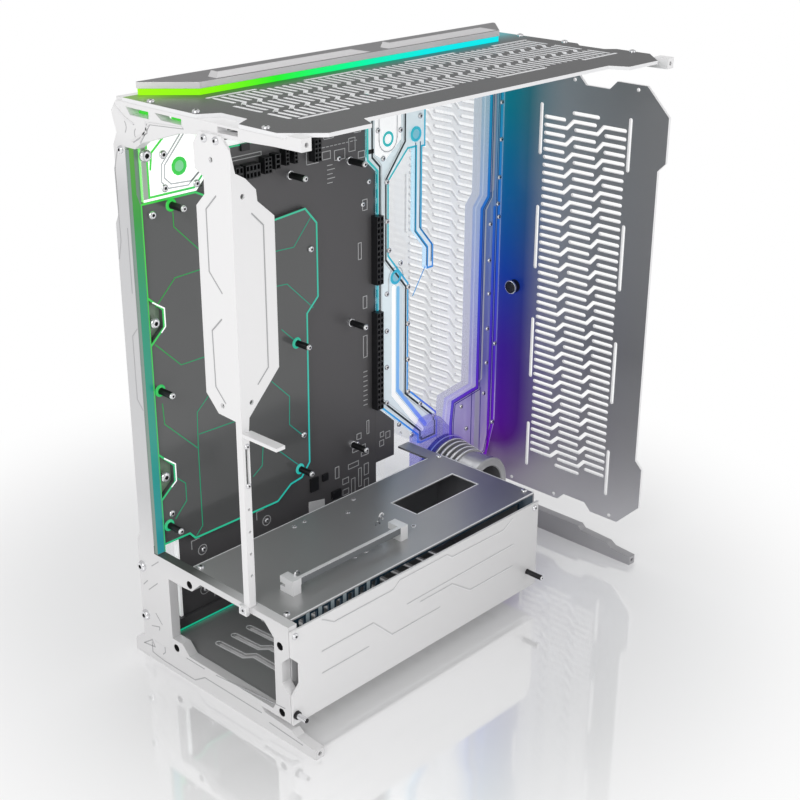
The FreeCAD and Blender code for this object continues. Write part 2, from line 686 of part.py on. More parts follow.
vents = [[(x, vent_low), (x + 6, vent_low), (x + 6, vent_high), (x, vent_high)] for x in range(18, 104, 14)]
vent_end = tunnel_l - 22
vents.append([(112, vent_low), (vent_end, vent_low), (vent_end, vent_high), (112, vent_high)])
side_end = tunnel_l - fold_t - fit
side_outline = [(frame_t + fit, floor_z), (side_end, floor_z), (side_end, shelf_z), (frame_t + fit, shelf_z)]
pieces["tunnel_side"] = plate("y", side_outline, -shelf_out, -shelf_out + fold_t, vents)
floor_in = post_in - fit
floor_side = -shelf_out + fold_t
floor_outline = [(frame_t + fit, floor_side), (tunnel_l - fold_t, floor_side), (tunnel_l - fold_t, floor_in),
                 (frame_t + fit, floor_in)]
floor_slots = []
for x in range(34, int(tunnel_l) - 18, 18):
    line = [(x, -23), (x + 2, -55), (x + 9, -61), (x + 9, -128)]
    floor_slots.append(band(line, 5.0))
pieces["tunnel_floor"] = plate("z", floor_outline, floor_z, floor_z + fold_t, floor_slots)
end_outline = [(-shelf_out, floor_z), (-shelf_out, shelf_z), (-shelf_in, shelf_z), (-shelf_in, 20),
               (-shelf_in - 20, floor_z)]
tunnel_end = plate("x", end_outline, tunnel_l - fold_t, tunnel_l)
flange_y = (-shelf_out + fold_t + fit, -shelf_in)
flange = block((tunnel_l - 12, tunnel_l - fold_t), flange_y, (shelf_z - fold_t, shelf_z))
flange_bores = [prism("z", x, y, shelf_shank_r, shelf_z - fold_t, shelf_z) for x, y in end_screws]
pieces["tunnel_end"] = tunnel_end.fuse(flange).cut(Part.makeCompound(flange_bores))

# White side cover on its spacers, with the hexagon notch that meets the one in the rear frame
cover_in = cover_out - fold_t
low, high = notch_z
side_cover_outline = [(0.5, cover_low), (cover_l, cover_low), (cover_l, cover_top), (0.5, cover_top),
                      (0.5, high), (notch_d, high - notch_d), (notch_d, low + notch_d), (0.5, low)]
cover_lines = [[(35, 85), (48, 77), (119, 77), (127, 83), (187, 83), (194, 78), (cover_l - 51, 77),
                (cover_l - 38, 84)],
               [(34, 55), (94, 55), (117, 33), (179, 33)], [(34, 34), (89, 34)],
               [(136, 55), (cover_l - 36, 56)],
               [(153, 50), (195, 50), (220, 33), (cover_l - 36, 33)]]
post_r = 2.5
post_spots = [(frame_t / 2, 8.0), (tunnel_l - 18, 17.0)]
cover_screw_spots = [(frame_t / 2 + 0.5, 83.0), (tunnel_l - 11, 83.0)]
cover_screw_r = 3.0
cover_bore_r = cover_screw_r / 2 + hole_fit
holes = [ring(x, z, post_r + hole_fit) for x, z in post_spots[1:]]
holes += [ring(x, z, cover_bore_r) for x, z in cover_screw_spots]
side_cover = plate("y", side_cover_outline, -cover_out, -cover_in, holes)
pieces["side_cover"] = side_cover.cut(grooves("y", cover_lines, -cover_out, -1))
spacer_spots = [(60.0, 66.0), (200.0, 66.0), (200.0, 14.0), (60.0, 14.0), (tunnel_l - 11, 60.0)]
spacers = [prism("y", x, z, 4.0, -cover_in, -shelf_out) for x, z in spacer_spots]
pieces["cover_spacers"] = Part.makeCompound(spacers)
pieces["glass_post_rear"] = prism("y", *post_spots[0], post_r, -cover_out - 12, -cover_out)
pieces["glass_post_front"] = prism("y", *post_spots[1], post_r, -cover_out - 18, -shelf_out)

# Riser rail on the top plate: two feet, a bar between them and a hook on each foot
rx, ry = riser_x, riser_y
feet = [(rx[0], rx[0] + riser_block_l), (rx[1] - riser_block_l, rx[1])]
riser = block(rx, (-ry[1], -ry[1] + riser_bar_w), (tunnel_h + riser_h - riser_bar_h, tunnel_h + riser_h))
for pair in feet:
    riser = riser.fuse(block(pair, (-ry[1], -ry[0]), (tunnel_h, tunnel_h + riser_h)))
    slit = block((pair[0], pair[1]), (-ry[0] - 6, -ry[0]), (tunnel_h + 5, tunnel_h + 8))
    riser = riser.cut(slit)
pieces["riser_rail"] = riser

# Knurled thumb knob on the front panel
pieces["thumb_knob"] = prism("x", knob_y, knob_z, knob_r, frame_span - knob_l, frame_span, large_sides)

# Screws that hold the panels, the tunnel and the bracket
top_spots = [(x, y) for x in panel_screw_x for y in panel_screw_y]
top_screws = [screw("z", x, y, top_z, 1, arm_screw_r, panel_shank) for x, y in top_spots]
pieces["top_panel_screws"] = Part.makeCompound(top_screws)
pieces["shelf_screws"] = Part.makeCompound(
    [screw("z", x, y, tunnel_h, 1, shelf_screw_r, 2 * fold_t - fit) for x, y in shelf_screws])
pieces["cover_screws"] = Part.makeCompound(
    [screw("y", x, z, -cover_out, -1, cover_screw_r, fold_t) for x, z in cover_screw_spots])
frame_spots = [(post_out, 73), (post_out, 23), (post_in + 5, frame_h - 38)]
pieces["frame_screws"] = Part.makeCompound([prism("x", y, z, 4.0, -2.6, 0) for y, z in frame_spots])
bracket_spots = [(-83, bracket_top - 4), (-96, bracket_top - 4)]
pieces["bracket_screws"] = Part.makeCompound(
    [prism("x", y, z, 2.6, -fold_t - 2, -fold_t) for y, z in bracket_spots])
pieces["support_screws"] = Part.makeCompound(
    [prism("y", 2, z, 2.4, -bracket_y - 2, -bracket_y) for z in (202, 236)])

# The origin is the middle of the underside of the whole case
os.makedirs("parts", exist_ok=True)
bounds = Part.makeCompound(list(pieces.values())).optimalBoundingBox(False)
origin = V(-bounds.Center.x, -bounds.Center.y, -bounds.ZMin)
for name, shape in pieces.items():
    shape.translate(origin)
    shape.exportStep("parts/%s.step" % name)
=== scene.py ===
"""Open-frame computer case: two machined end frames with clear plates, louvred panels and case lights."""
import bpy
import bmesh
import math
from mathutils import Matrix, Vector


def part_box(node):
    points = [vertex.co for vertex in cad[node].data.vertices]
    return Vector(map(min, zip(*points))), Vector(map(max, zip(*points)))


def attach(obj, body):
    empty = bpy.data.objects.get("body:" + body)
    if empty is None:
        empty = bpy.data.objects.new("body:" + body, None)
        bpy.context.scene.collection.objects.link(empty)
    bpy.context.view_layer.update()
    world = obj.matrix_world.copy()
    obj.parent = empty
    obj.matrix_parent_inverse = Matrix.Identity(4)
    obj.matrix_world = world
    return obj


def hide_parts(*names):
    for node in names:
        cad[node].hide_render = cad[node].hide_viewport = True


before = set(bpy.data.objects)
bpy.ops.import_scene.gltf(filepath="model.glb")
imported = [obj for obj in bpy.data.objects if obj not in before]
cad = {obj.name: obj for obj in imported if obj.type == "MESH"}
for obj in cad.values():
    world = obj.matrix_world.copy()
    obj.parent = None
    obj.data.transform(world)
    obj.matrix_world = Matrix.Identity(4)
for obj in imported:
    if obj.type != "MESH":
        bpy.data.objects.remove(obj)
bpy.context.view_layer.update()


# End frames
# The two end frames and their feet are milled from thick aluminium plate and
# anodised white; the feet are bolted on below. Every sharp edge is broken.
rear_low, rear_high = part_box("rear_frame")
datum = Vector((rear_low.x, rear_high.y - 0.040, rear_low.z))


def spot(x, y, z):
    """A place in millimetres from the rear frame's outside, the wall datum and the frames' underside."""
    return datum + Vector((x, y, z)) / 1000


def sockets(tree, inputs, outputs):
    """Inputs (name, kind, value) and outputs (name, kind) of a node group."""
    for name, kind, value in inputs:
        made = tree.interface.new_socket(name, in_out="INPUT", socket_type="NodeSocket" + kind)
        if value is not None:
            made.default_value = value
    for name, kind in outputs:
        tree.interface.new_socket(name, in_out="OUTPUT", socket_type="NodeSocket" + kind)
    return tree.nodes.new("NodeGroupInput"), tree.nodes.new("NodeGroupOutput")


def add(tree, kind, links=None, **settings):
    """New node: its inputs take a value or another node's output."""
    node = tree.nodes.new(kind)
    for key, value in settings.items():
        setattr(node, key, value)
    for key, value in (links or {}).items():
        if isinstance(value, bpy.types.NodeSocket):
            tree.links.new(value, node.inputs[key])
        else:
            node.inputs[key].default_value = value
    return node


def first(tree, kind, links=None, **settings):
    """First output of a new node."""
    return add(tree, kind, links, **settings).outputs[0]


def calc(tree, operation, *values):
    return first(tree, "ShaderNodeMath", dict(enumerate(values)), operation=operation)


def rescaled(tree, value, low, high, start=0.0, end=1.0, kind="LINEAR"):
    """A value brought from one range to another and held inside it."""
    return first(tree, "ShaderNodeMapRange", {"Value": value, 1: low, 2: high, 3: start, 4: end},
                 interpolation_type=kind)


def scaled(tree, colour, factor):
    return first(tree, "ShaderNodeVectorMath", {0: colour, 3: factor}, operation="SCALE")


def mix(tree, share, one, two):
    """Colour between two colours, each a socket or three numbers."""
    one, two = ((*c, 1) if isinstance(c, tuple) else c for c in (one, two))
    return add(tree, "ShaderNodeMix", {0: share, 6: one, 7: two}, data_type="RGBA").outputs[2]


def where(tree):
    """X, Y and Z of each point, in metres."""
    place = add(tree, "ShaderNodeTexCoord").outputs["Object"]
    return add(tree, "ShaderNodeSeparateXYZ", {0: place}).outputs


def facing(tree):
    """X, Y and Z of the direction that each face looks."""
    way = add(tree, "ShaderNodeNewGeometry").outputs["True Normal"]
    return add(tree, "ShaderNodeSeparateXYZ", {0: way}).outputs


def ramp(tree, value, stops):
    """Colours that follow each other as the value goes from 0 to 1."""
    shade = add(tree, "ShaderNodeValToRGB", {0: value})
    elements = shade.color_ramp.elements
    elements.remove(elements[-1])
    elements[0].position, elements[0].color = stops[0][0], (*stops[0][1], 1)
    for place, colour in stops[1:]:
        elements.new(place).color = (*colour, 1)
    return shade.outputs[0]


def along(tree, axis, low, high, stops):
    """Colours that follow each other along one axis, between two places in metres."""
    return ramp(tree, rescaled(tree, where(tree)[axis], low, high), stops)


def principled(name, colour, **values):
    """New material with these values on its shader, its node tree and the shader's inputs."""
    made = bpy.data.materials.new(name)
    made.use_nodes = True
    inputs = made.node_tree.nodes["Principled BSDF"].inputs
    inputs["Base Color"].default_value = (*colour, 1)
    for key, value in values.items():
        inputs[key.replace("_", " ")].default_value = value
    return made, made.node_tree, inputs


def opened(material):
    """Node tree and shader inputs of a material, to be changed further."""
    return material.node_tree, material.node_tree.nodes["Principled BSDF"].inputs


def grain_group():
    """Fine satin grain: a height for bump and a small change of roughness."""
    tree = bpy.data.node_groups.new("satin_grain", "ShaderNodeTree")
    entry, out = sockets(tree, [("Scale", "Float", 900.0), ("Stretch", "Vector", (1, 1, 1)),
                                ("Roughness", "Float", 0.35), ("Spread", "Float", 0.1)],
                         [("Height", "Float"), ("Roughness", "Float")])
    given = entry.outputs
    place = add(tree, "ShaderNodeTexCoord").outputs["Object"]
    stretched = first(tree, "ShaderNodeVectorMath", {0: place, 1: given["Stretch"]}, operation="MULTIPLY")
    noise = add(tree, "ShaderNodeTexNoise", {"Vector": stretched, "Scale": given["Scale"], "Detail": 3.0})
    height = noise.outputs["Fac"]
    off = calc(tree, "SUBTRACT", height, 0.5)
    rough = calc(tree, "MULTIPLY_ADD", off, given["Spread"], given["Roughness"])
    tree.links.new(height, out.inputs["Height"])
    tree.links.new(rough, out.inputs["Roughness"])
    return tree


satin_grain = grain_group()
satin = (2600, (1, 1, 1), 0.12)


def finish(name, colour, metallic, roughness, grain=None, bump=0.0, edge=0.0004, **extra):
    """Plain or metal finish: grain is (scale, stretch, spread of roughness), edge a bevel in metres."""
    made, tree, inputs = principled(name, colour, Metallic=metallic, Roughness=roughness, **extra)
    normal = first(tree, "ShaderNodeBevel", {"Radius": edge}, samples=4) if edge else None
    if grain:
        scale, stretch, spread = grain
        group = add(tree, "ShaderNodeGroup", {"Scale": scale, "Stretch": stretch, "Roughness": roughness,
                                              "Spread": spread}, node_tree=satin_grain)
        tree.links.new(group.outputs["Roughness"], inputs["Roughness"])
        if bump:
            bumped = add(tree, "ShaderNodeBump", {"Strength": bump, "Distance": 0.0004,
                                                  "Height": group.outputs["Height"]})
            if normal:
                tree.links.new(normal, bumped.inputs["Normal"])
            normal = bumped.outputs[0]
    if normal:
        tree.links.new(normal, inputs["Normal"])
    return made


def wear(material, *nodes):
    for node in nodes:
        cad[node].data.materials.clear()
        cad[node].data.materials.append(material)


def shaded(material, axis, low, high, stops):
    """Gives a finish a base colour that changes along one axis, between two places in metres."""
    tree, inputs = opened(material)
    tree.links.new(along(tree, axis, low, high, stops), inputs["Base Color"])


white_metal = finish("white_anodised", (0.84, 0.835, 0.84), 0.1, 0.36, satin, 0.05)
frame_metal = finish("frame_anodised", (0.80, 0.795, 0.80), 0.15, 0.34, satin, 0.05, edge=0.0006)
# Painted reflection: the frames' base colour is darker over the middle of their height, for the dark studio
# that the posts mirror.
shaded(frame_metal, "Z", datum.z, datum.z + 0.485,
       [(0.0, (0.74, 0.735, 0.74)), (0.16, (0.76, 0.755, 0.76)), (0.3, (0.60, 0.60, 0.61)),
        (0.85, (0.58, 0.58, 0.59)), (0.95, (0.80, 0.795, 0.80)), (1.0, (0.82, 0.815, 0.82))])
wear(frame_metal, "rear_frame", "front_frame", "rear_foot", "upper_rail")

# Painted reflection: two faces, the surround's top and the inner side of its wall post, are painted dark in
# their base colour for the dark inside that they mirror.
tree, inputs = opened(frame_metal)
place, way = where(tree), facing(tree)
top_face = calc(tree, "MULTIPLY", calc(tree, "GREATER_THAN", way["Z"], 0.9),
                calc(tree, "GREATER_THAN", place["Z"], datum.z + 0.086))
top_shade = calc(tree, "MULTIPLY", top_face, rescaled(tree, place["Y"], datum.y - 0.105, datum.y - 0.03))
post_face = calc(tree, "MULTIPLY", calc(tree, "LESS_THAN", way["Y"], -0.9),
                 calc(tree, "GREATER_THAN", place["Y"], datum.y))
painted_reflection_mask = calc(tree, "MULTIPLY", calc(tree, "MAXIMUM", top_shade, post_face),
                calc(tree, "LESS_THAN", place["Z"], datum.z + 0.100))
plain = inputs["Base Color"].links[0].from_socket
tree.links.new(mix(tree, painted_reflection_mask, plain, (0.085, 0.09, 0.085)), inputs["Base Color"])
# Painted shade: the front foot, anodised white like the frames, is given a dark grey for the shade in which
# it stands.
front_foot_painted_shade = finish("front_foot_painted_shade", (0.40, 0.395, 0.41), 0.4, 0.34, satin, 0.05, edge=0.0008)
wear(front_foot_painted_shade, "front_foot")


def placed(name, data):
    made = bpy.data.objects.new(name, data)
    bpy.context.scene.collection.objects.link(made)
    return made


def own(name, mesh, material):
    """A piece of this scene, riding on the case."""
    made = placed(name, mesh)
    mesh.materials.append(material)
    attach(made, "root")
    return made


def joined(held, rims):
    """Faces between each rim of points and the next."""
    for one, two in zip(rims, rims[1:]):
        for k in range(len(one)):
            held.faces.new((one[k - 1], one[k], two[k], two[k - 1]))


def meshed(name, held, split=False):
    """Mesh with its faces turned outward and, where asked, its many-sided faces split."""
    bmesh.ops.recalc_face_normals(held, faces=held.faces)
    if split:
        bmesh.ops.triangulate(held, faces=[f for f in held.faces if len(f.verts) > 4])
    mesh = bpy.data.meshes.new(name)
    held.to_mesh(mesh)
    held.free()
    return mesh


def rounded(mesh, angle):
    """Smooth around the piece, sharp where its faces meet at more than this angle."""
    for face in mesh.polygons:
        face.use_smooth = len(face.vertices) == 4
    mesh.set_sharp_from_angle(angle=math.radians(angle))


def arc(u, v, reach, count, parts):
    """Points around a centre, each a half turn divided by the parts further on."""
    return [(u + reach * math.cos(a * math.pi / parts), v + reach * math.sin(a * math.pi / parts))
            for a in range(count)]


def laid(axis, u, v, w):
    """Place from two flat coordinates and the depth w along an axis."""
    return {"x": (w, u, v), "y": (u, w, v), "z": (u, v, w)}[axis]


def band_outline(path, half):
    """Closed outline, round at its ends, of an even band along a path of two or more points."""
    pts = [Vector(p) for p in path]
    side = []
    for i, p in enumerate(pts):
        before = (p - pts[i - 1]).normalized() if i else None
        after = (pts[i + 1] - p).normalized() if i + 1 < len(pts) else None
        one, two = before or after, after or before
        way = (one + two).normalized()
        across = Vector((-way.y, way.x))
        side.append((p, across * half / max(0.3, across.dot(Vector((-one.y, one.x))))))
    outline = [p + a for p, a in side]
    for end, way in ((pts[-1], pts[-1] - pts[-2]), (pts[0], pts[0] - pts[1])):
        start = math.atan2(way.y, way.x) + math.pi / 2
        turns = [start - k * math.pi / 6 for k in range(1, 6)]
        outline += [end + Vector((math.cos(turn), math.sin(turn))) * half for turn in turns]
        if end is pts[-1]:
            outline += [p - a for p, a in reversed(side)]
    return outline


def slabs(name, outlines, axis, near, far, material):
    """Flat pieces with these outlines between two planes; u and v run along the other two axes."""
    held = bmesh.new()
    for ring in outlines:
        rims = [[held.verts.new(spot(*laid(axis, p[0], p[1], w))) for p in ring] for w in (near, far)]
        for rim in rims:
            held.faces.new(rim)
        joined(held, rims)
    return own(name, meshed(name, held, split=True), material)


def bands(name, paths, width, axis, near, far, material):
    """Flat lines of even width along these paths, between two planes."""
    return slabs(name, [band_outline(path, width / 2) for path in paths], axis, near, far, material)


def turned(name, centres, axis, profile, material, sides=48):
    """Round pieces from (radius, height) steps, turned about an axis through each centre."""
    held = bmesh.new()
    turns = [2 * math.pi * k / sides for k in range(sides)]
    for centre in centres:
        rims = []
        for r, h in profile:
            rim = [laid(axis, r * math.cos(turn), r * math.sin(turn), h) for turn in turns]
            rims.append([held.verts.new(spot(*(c + d for c, d in zip(centre, p)))) for p in rim])
        joined(held, rims)
        if profile[0] != profile[-1]:
            held.faces.new(rims[0])
            held.faces.new(rims[-1])
        else:
            bmesh.ops.remove_doubles(held, verts=rims[0] + rims[-1], dist=1e-7)
    made = own(name, meshed(name, held), material)
    rounded(made.data, 35)
    return made


def ring(inner, outer, start, end):
    """Profile of a plain ring between two heights."""
    return [(inner, start), (inner, end), (outer, end), (outer, start), (inner, start)]


# Painted shade: engraved lines, and the shadow beside the gusset's ribs, are drawn as grey bands.
rim_shadow = finish("shadow_line", (0.42, 0.42, 0.43), 0.1, 0.45, edge=0)
frame_lines = [[(26, 448), (32, 430), (31, 372), (35, 356)], [(21, 384), (21, 330)],
               [(18, 300), (25, 292), (25, 236), (18, 228)], [(12, 86), (22, 78)], [(30, 60), (36, 54)],
               [(21, 30), (13, 22)], [(-148, 12), (-60, 3)], [(-20, 2), (-44, 2)],
               [(28.6, 51.5), (15.6, 62.9)], [(28.2, 14.4), (17, 17.7), (17.4, 14.4)]]
bands("frame_engraving", frame_lines, 0.9, "x", -0.15, 0.3, rim_shadow)
foot_lines = [[(30, -4), (30, -14), (14, -16), (-30, -16), (-44, -7), (-118, -7)],
              [(-128, -12), (-168, -14)], [(42, -9.5), (29.5, -1), (26.1, -7.1), (42, -9.5)],
              [(11.2, -1), (11.1, -6.3), (14.3, -9.4)]]
bands("foot_engraving", foot_lines, 1.0, "x", -0.15, 0.3, rim_shadow)
gusset_lines = [[(-3, 457), (-16, 473), (-56, 476)], [(4, 470), (14, 473), (26, 481)],
                [(6, 456), (-12, 466), (-12, 473)]]
bands("gusset_rib", gusset_lines, 1.3, "x", -0.5, 0.3, frame_metal)
bands("gusset_shadow", [[(u - 1.1, v - 0.9) for u, v in path] for path in gusset_lines], 0.7,
      "x", -0.12, 0.3, rim_shadow)
marks = [[(14.5 - 1.5 * math.sin(k * math.pi / 6), 470 - 1.4 * k) for k in range(7)],
         [(1.5 + 1.5 * math.sin(k * math.pi / 6), 466 - 1.2 * k) for k in range(6)]]
bands("gusset_marks", marks, 0.8, "x", -0.12, 0.3, rim_shadow)

# Louvred panels
# Top, front and back-chamber panels: 3 mm aluminium sheet, brushed grey on its
# faces, laser cut into long zigzag louvres; the cut edges stay bright.
top_grey = finish("brushed_top", (0.118, 0.117, 0.121), 0.65, 0.40, (420, (1, 40, 1), 0.2), 0.06, edge=0)
front_grey = finish("brushed_front", (0.30, 0.298, 0.31), 0.6, 0.36, (420, (1, 1, 40), 0.22), 0.06, edge=0)
# Bright finish: the bare cut edges of the louvres and the board's grommet, and painted highlights along the
# shelf's edges and cable window, round the floor slots, on the pump's rib crests and beside the side cover's
# lines.
cut_edge_and_highlight = finish("cut_edge_and_painted_highlight", (0.84, 0.84, 0.85), 0.1, 0.4, edge=0)
# Painted light: the back-chamber sheet has a faint white glow of its own, for the light that the acrylic
# throws on it.
white_sheet = finish("white_sheet", (0.95, 0.95, 0.96), 0.0, 0.4, satin, 0.05, edge=0,
                     Emission_Strength=0.16, Emission_Color=(1, 1, 1, 1))
slot_w, pitch, sheet_t = 3.8, 7.86, 3.0
right_run, middle_run, left_run, step = (38.0, 62.0), (69.0, 97.0), (105.0, 130.0), 3.0
border_spans = ((-191.5, -144.5), (-90.0, -28.0), (28.0, 90.0), (144.5, 191.5))
hole_r, hole_in, border_rows = 1.9, 4.5, (32.5, 135.5)


def flat_curve(name, outlines):
    made = bpy.data.curves.new(name, "CURVE")
    made.dimensions = "2D"
    for ring_points in outlines:
        line = made.splines.new("POLY")
        line.points.add(len(ring_points) - 1)
        for point, p in zip(line.points, ring_points):
            point.co = (p[0], p[1], 0, 1)
        line.use_cyclic_u = True
    made.fill_mode = "NONE"
    return placed(name, made)


def geometry_tree(name, *inputs):
    """New geometry tree, the outputs of its entry and the socket for its result."""
    tree = bpy.data.node_groups.new(name, "GeometryNodeTree")
    tree.is_modifier = True
    shape = ("Geometry", "Geometry")
    entry, out = sockets(tree, [(*shape, None), *inputs], [shape])
    return tree, entry.outputs, out.inputs[0]


def shape_of(tree, carrier):
    return add(tree, "GeometryNodeObjectInfo", {"Object": carrier}).outputs["Geometry"]


def copies(tree, points, shape, **more):
    """The shape on each point, as real geometry."""
    spread = first(tree, "GeometryNodeInstanceOnPoints", {"Points": points, "Instance": shape, **more})
    return first(tree, "GeometryNodeRealizeInstances", {"Geometry": spread})


def dressed_in(tree, shape, material, chosen=True):
    return first(tree, "GeometryNodeSetMaterial", {"Geometry": shape, "Selection": chosen,
                                                   "Material": material})


def join(tree, *shapes):
    both = add(tree, "GeometryNodeJoinGeometry")
    for shape in shapes:
        tree.links.new(shape, both.inputs[0])
    return both.outputs[0]


def louvre_tree():
    """Sheet filled between its outline and its slots, the paired slots repeated line by line."""
    tree, entry, out = geometry_tree(
        "louvred_sheet", ("Outline", "Object", None), ("Pair", "Object", None),
        ("Pairs", "Int", 20), ("Pitch", "Float", 8.0), ("Thickness", "Float", 3.0),
        ("Face", "Material", None), ("Cut edge", "Material", None))
    stride = first(tree, "ShaderNodeCombineXYZ", {"X": calc(tree, "MULTIPLY", entry["Pitch"], -2.0)})
    row = first(tree, "GeometryNodeMeshLine", {"Count": entry["Pairs"], "Offset": stride})
    slots = copies(tree, row, shape_of(tree, entry["Pair"]))
    outlines = join(tree, shape_of(tree, entry["Outline"]), slots)
    filled = first(tree, "GeometryNodeFillCurve", {0: outlines})
    lift = first(tree, "ShaderNodeCombineXYZ", {"Z": entry["Thickness"]})
    raised = add(tree, "GeometryNodeExtrudeMesh", {"Mesh": filled, "Offset": lift, "Offset Scale": 1.0,
                                                   "Individual": False}, mode="FACES").outputs
    under = dressed_in(tree, first(tree, "GeometryNodeFlipFaces", {"Mesh": filled}), entry["Face"])
    topped = dressed_in(tree, raised["Mesh"], entry["Face"], raised["Top"])
    edged = dressed_in(tree, topped, entry["Cut edge"], raised["Side"])
    whole = join(tree, edged, under)
    tree.links.new(first(tree, "GeometryNodeMergeByDistance", {"Geometry": whole, "Distance": 0.01}), out)
    return tree


def evaluated(name, held):
    """Mesh of an object as its modifiers or its curve make it; the object goes."""
    view = bpy.context.evaluated_depsgraph_get()
    mesh = bpy.data.meshes.new_from_object(held.evaluated_get(view), depsgraph=view)
    bpy.data.objects.remove(held)
    mesh.name = name
    return mesh


def grown(name, tree, values, carrier=None):
    """Runs a geometry tree with its named inputs and keeps the result as a plain mesh."""
    held = carrier or placed(name + "_seed", bpy.data.meshes.new(name + "_seed"))
    maker = held.modifiers.new("made", "NODES")
    maker.node_group = tree
    for item in tree.interface.items_tree:
        if item.name in values and item.in_out == "INPUT":
            maker[item.identifier] = values[item.name]
    held.update_tag()
    mesh = evaluated(name, held)
    for k in reversed(range(len(mesh.materials))):
        if mesh.materials[k] is None:
            mesh.materials.pop(index=k)
    return placed(name, mesh)


louvred_sheet = louvre_tree()


def louvred(name, length, tab, back, notches, lines, shift, full, hole_w, face, place):
    """Louvred sheet with a tab and a notch at each end; u runs along it from its middle, w across."""
    half, chamfer, tab_l, tab_run = length / 2, 25.0, 67.0, 8.0
    ends = []
    for middle, side, deep, run in notches:
        ends.append([(half - tab_l - tab_run, 0), (half - tab_l, -tab), (half - chamfer, -tab),
                     (half, chamfer - tab), (half, middle - side - run), (half - deep, middle - side),
                     (half - deep, middle + side), (half, middle + side + run), (half, back)])
    rings = [ends[0] + [(-u, w) for u, w in reversed(ends[1])]]
    top = (lines - 1) * pitch / 2 + shift[0]
    last = top - (lines - 1) * pitch
    singles = [[(u, middle_run[0]), (u, middle_run[1])] for u in (top, last)]
    if full:
        singles += [[(u, right_run[0]), (u, right_run[1] - step)] for u in (top, last)]
        singles += [[(last, left_run[0] + step), (last, left_run[1])]]
    for w in (32.5, 135.5):
        singles += [[(a + shift[1], w), (b + shift[1], w)] for a, b in border_spans]
    for w in border_rows:
        singles += [[(a + shift[1], w), (b + shift[1], w)] for a, b in border_spans]
    rings += [band_outline(path, slot_w / 2) for path in singles]
    for u in (-half + hole_in, half - hole_in):
        for w in hole_w:
            rings.append(arc(u, w, hole_r, 16, 8))
    u, low = top - pitch, top - 2 * pitch
    cell = [[(u, right_run[0]), (u, right_run[1]), (low, middle_run[0]), (low, middle_run[1] - step)],
            [(u, middle_run[0] + step), (u, middle_run[1]), (low, left_run[0]), (low, left_run[1])],
            [(u, left_run[0] + step), (u, left_run[1])], [(low, right_run[0]), (low, right_run[1] - step)]]
    outline = flat_curve(name + "_outline", rings)
    pair = flat_curve(name + "_pair", [band_outline(path, slot_w / 2) for path in cell])
    made = grown(name, louvred_sheet, {"Outline": outline, "Pair": pair, "Pairs": lines // 2 - 1,
                                       "Pitch": pitch, "Thickness": sheet_t, "Face": face,
                                       "Cut edge": cut_edge_and_highlight})
    for v in made.data.vertices:
        v.co = place(*v.co)
    bpy.data.objects.remove(outline)
    bpy.data.objects.remove(pair)
    trued = bmesh.new()
    trued.from_mesh(made.data)
    bmesh.ops.recalc_face_normals(trued, faces=trued.faces)
    trued.to_mesh(made.data)
    trued.free()
    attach(made, "root")
    return made


front_notch, front_shift = (71.5, 13.5, 8.0, 8.0), (0.8, -2.8)
front_panel = louvred("louvred_front", 443.0, 8.0, 202.0, (front_notch, front_notch), 48, front_shift, False,
                      (26.5, 98.0, 155.0), front_grey, lambda u, w, t: spot(447 + t, w - 176, 237.5 + u))
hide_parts("front_panel")
back_panel = louvred("louvred_back_chamber", 443.0, 8.0, 145.2, (front_notch, front_notch), 48, front_shift,
                     False, (26.5, 98.0), white_sheet, lambda u, w, t: spot(447 + t, 171.5 - w, 237.5 + u))
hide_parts("back_chamber_panel")
top_notches = ((72.5, 14.5, 16.0, 9.0), (67.0, 14.0, 8.0, 8.0))
top_panel = louvred("louvred_top", 446.4, 16.0, 184.0, top_notches, 50, (-7.5, -12.0), True,
                    (25.0, 101.0, 154.0), top_grey, lambda u, w, t: spot(223.5 - u, w - 168, 485 + t))
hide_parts("top_panel")

# Ridge
# A strip of clear acrylic glows between the top panel and a machined cap; its
# light runs from lime at the rear to cyan at the front.


def case_light_group():
    """Colour of the case lights: green high at the rear, then teal, cyan, blue and, low in front, magenta."""
    tree = bpy.data.node_groups.new("case_light", "ShaderNodeTree")
    entry, out = sockets(tree, [("Level", "Float", 1.0)], [("Color", "Color")])
    place = where(tree)
    start = datum.x - 0.3 * (datum.z + 0.4)
    sloping = calc(tree, "MULTIPLY_ADD", place["Z"], -0.3, place["X"])
    rear = ramp(tree, rescaled(tree, sloping, start, start + 0.42),
                [(0.0, (0.03, 0.72, 0.0)), (0.08, (0.0, 0.60, 0.01)), (0.16, (0.0, 0.52, 0.08)),
                 (0.26, (0.0, 0.48, 0.22)), (0.52, (0.0, 0.45, 0.30)), (0.64, (0.0, 0.46, 0.46)),
                 (0.76, (0.0, 0.42, 0.54)), (0.88, (0.0, 0.30, 0.72)), (1.0, (0.0, 0.14, 0.80))])
    front = along(tree, "Z", datum.z + 0.04, datum.z + 0.47,
                  [(0.0, (0.22, 0.0, 0.50)), (0.10, (0.15, 0.0, 0.56)), (0.30, (0.08, 0.02, 0.60)),
                   (0.48, (0.01, 0.09, 0.72)), (0.70, (0.0, 0.24, 0.66)), (0.88, (0.0, 0.36, 0.52)),
                   (1.0, (0.0, 0.42, 0.50))])
    share = rescaled(tree, place["X"], datum.x + 0.33, datum.x + 0.39)
    tree.links.new(scaled(tree, mix(tree, share, rear, front), entry.outputs["Level"]), out.inputs[0])
    return tree


case_light = case_light_group()


def glowing(name, strength, base=(0.3, 0.3, 0.3)):
    """Acrylic that gives off the case lights' colour at its place."""
    made, tree, inputs = principled(name, base, Roughness=0.25, Emission_Strength=strength)
    tree.links.new(first(tree, "ShaderNodeGroup", node_tree=case_light), inputs["Emission Color"])
    return made


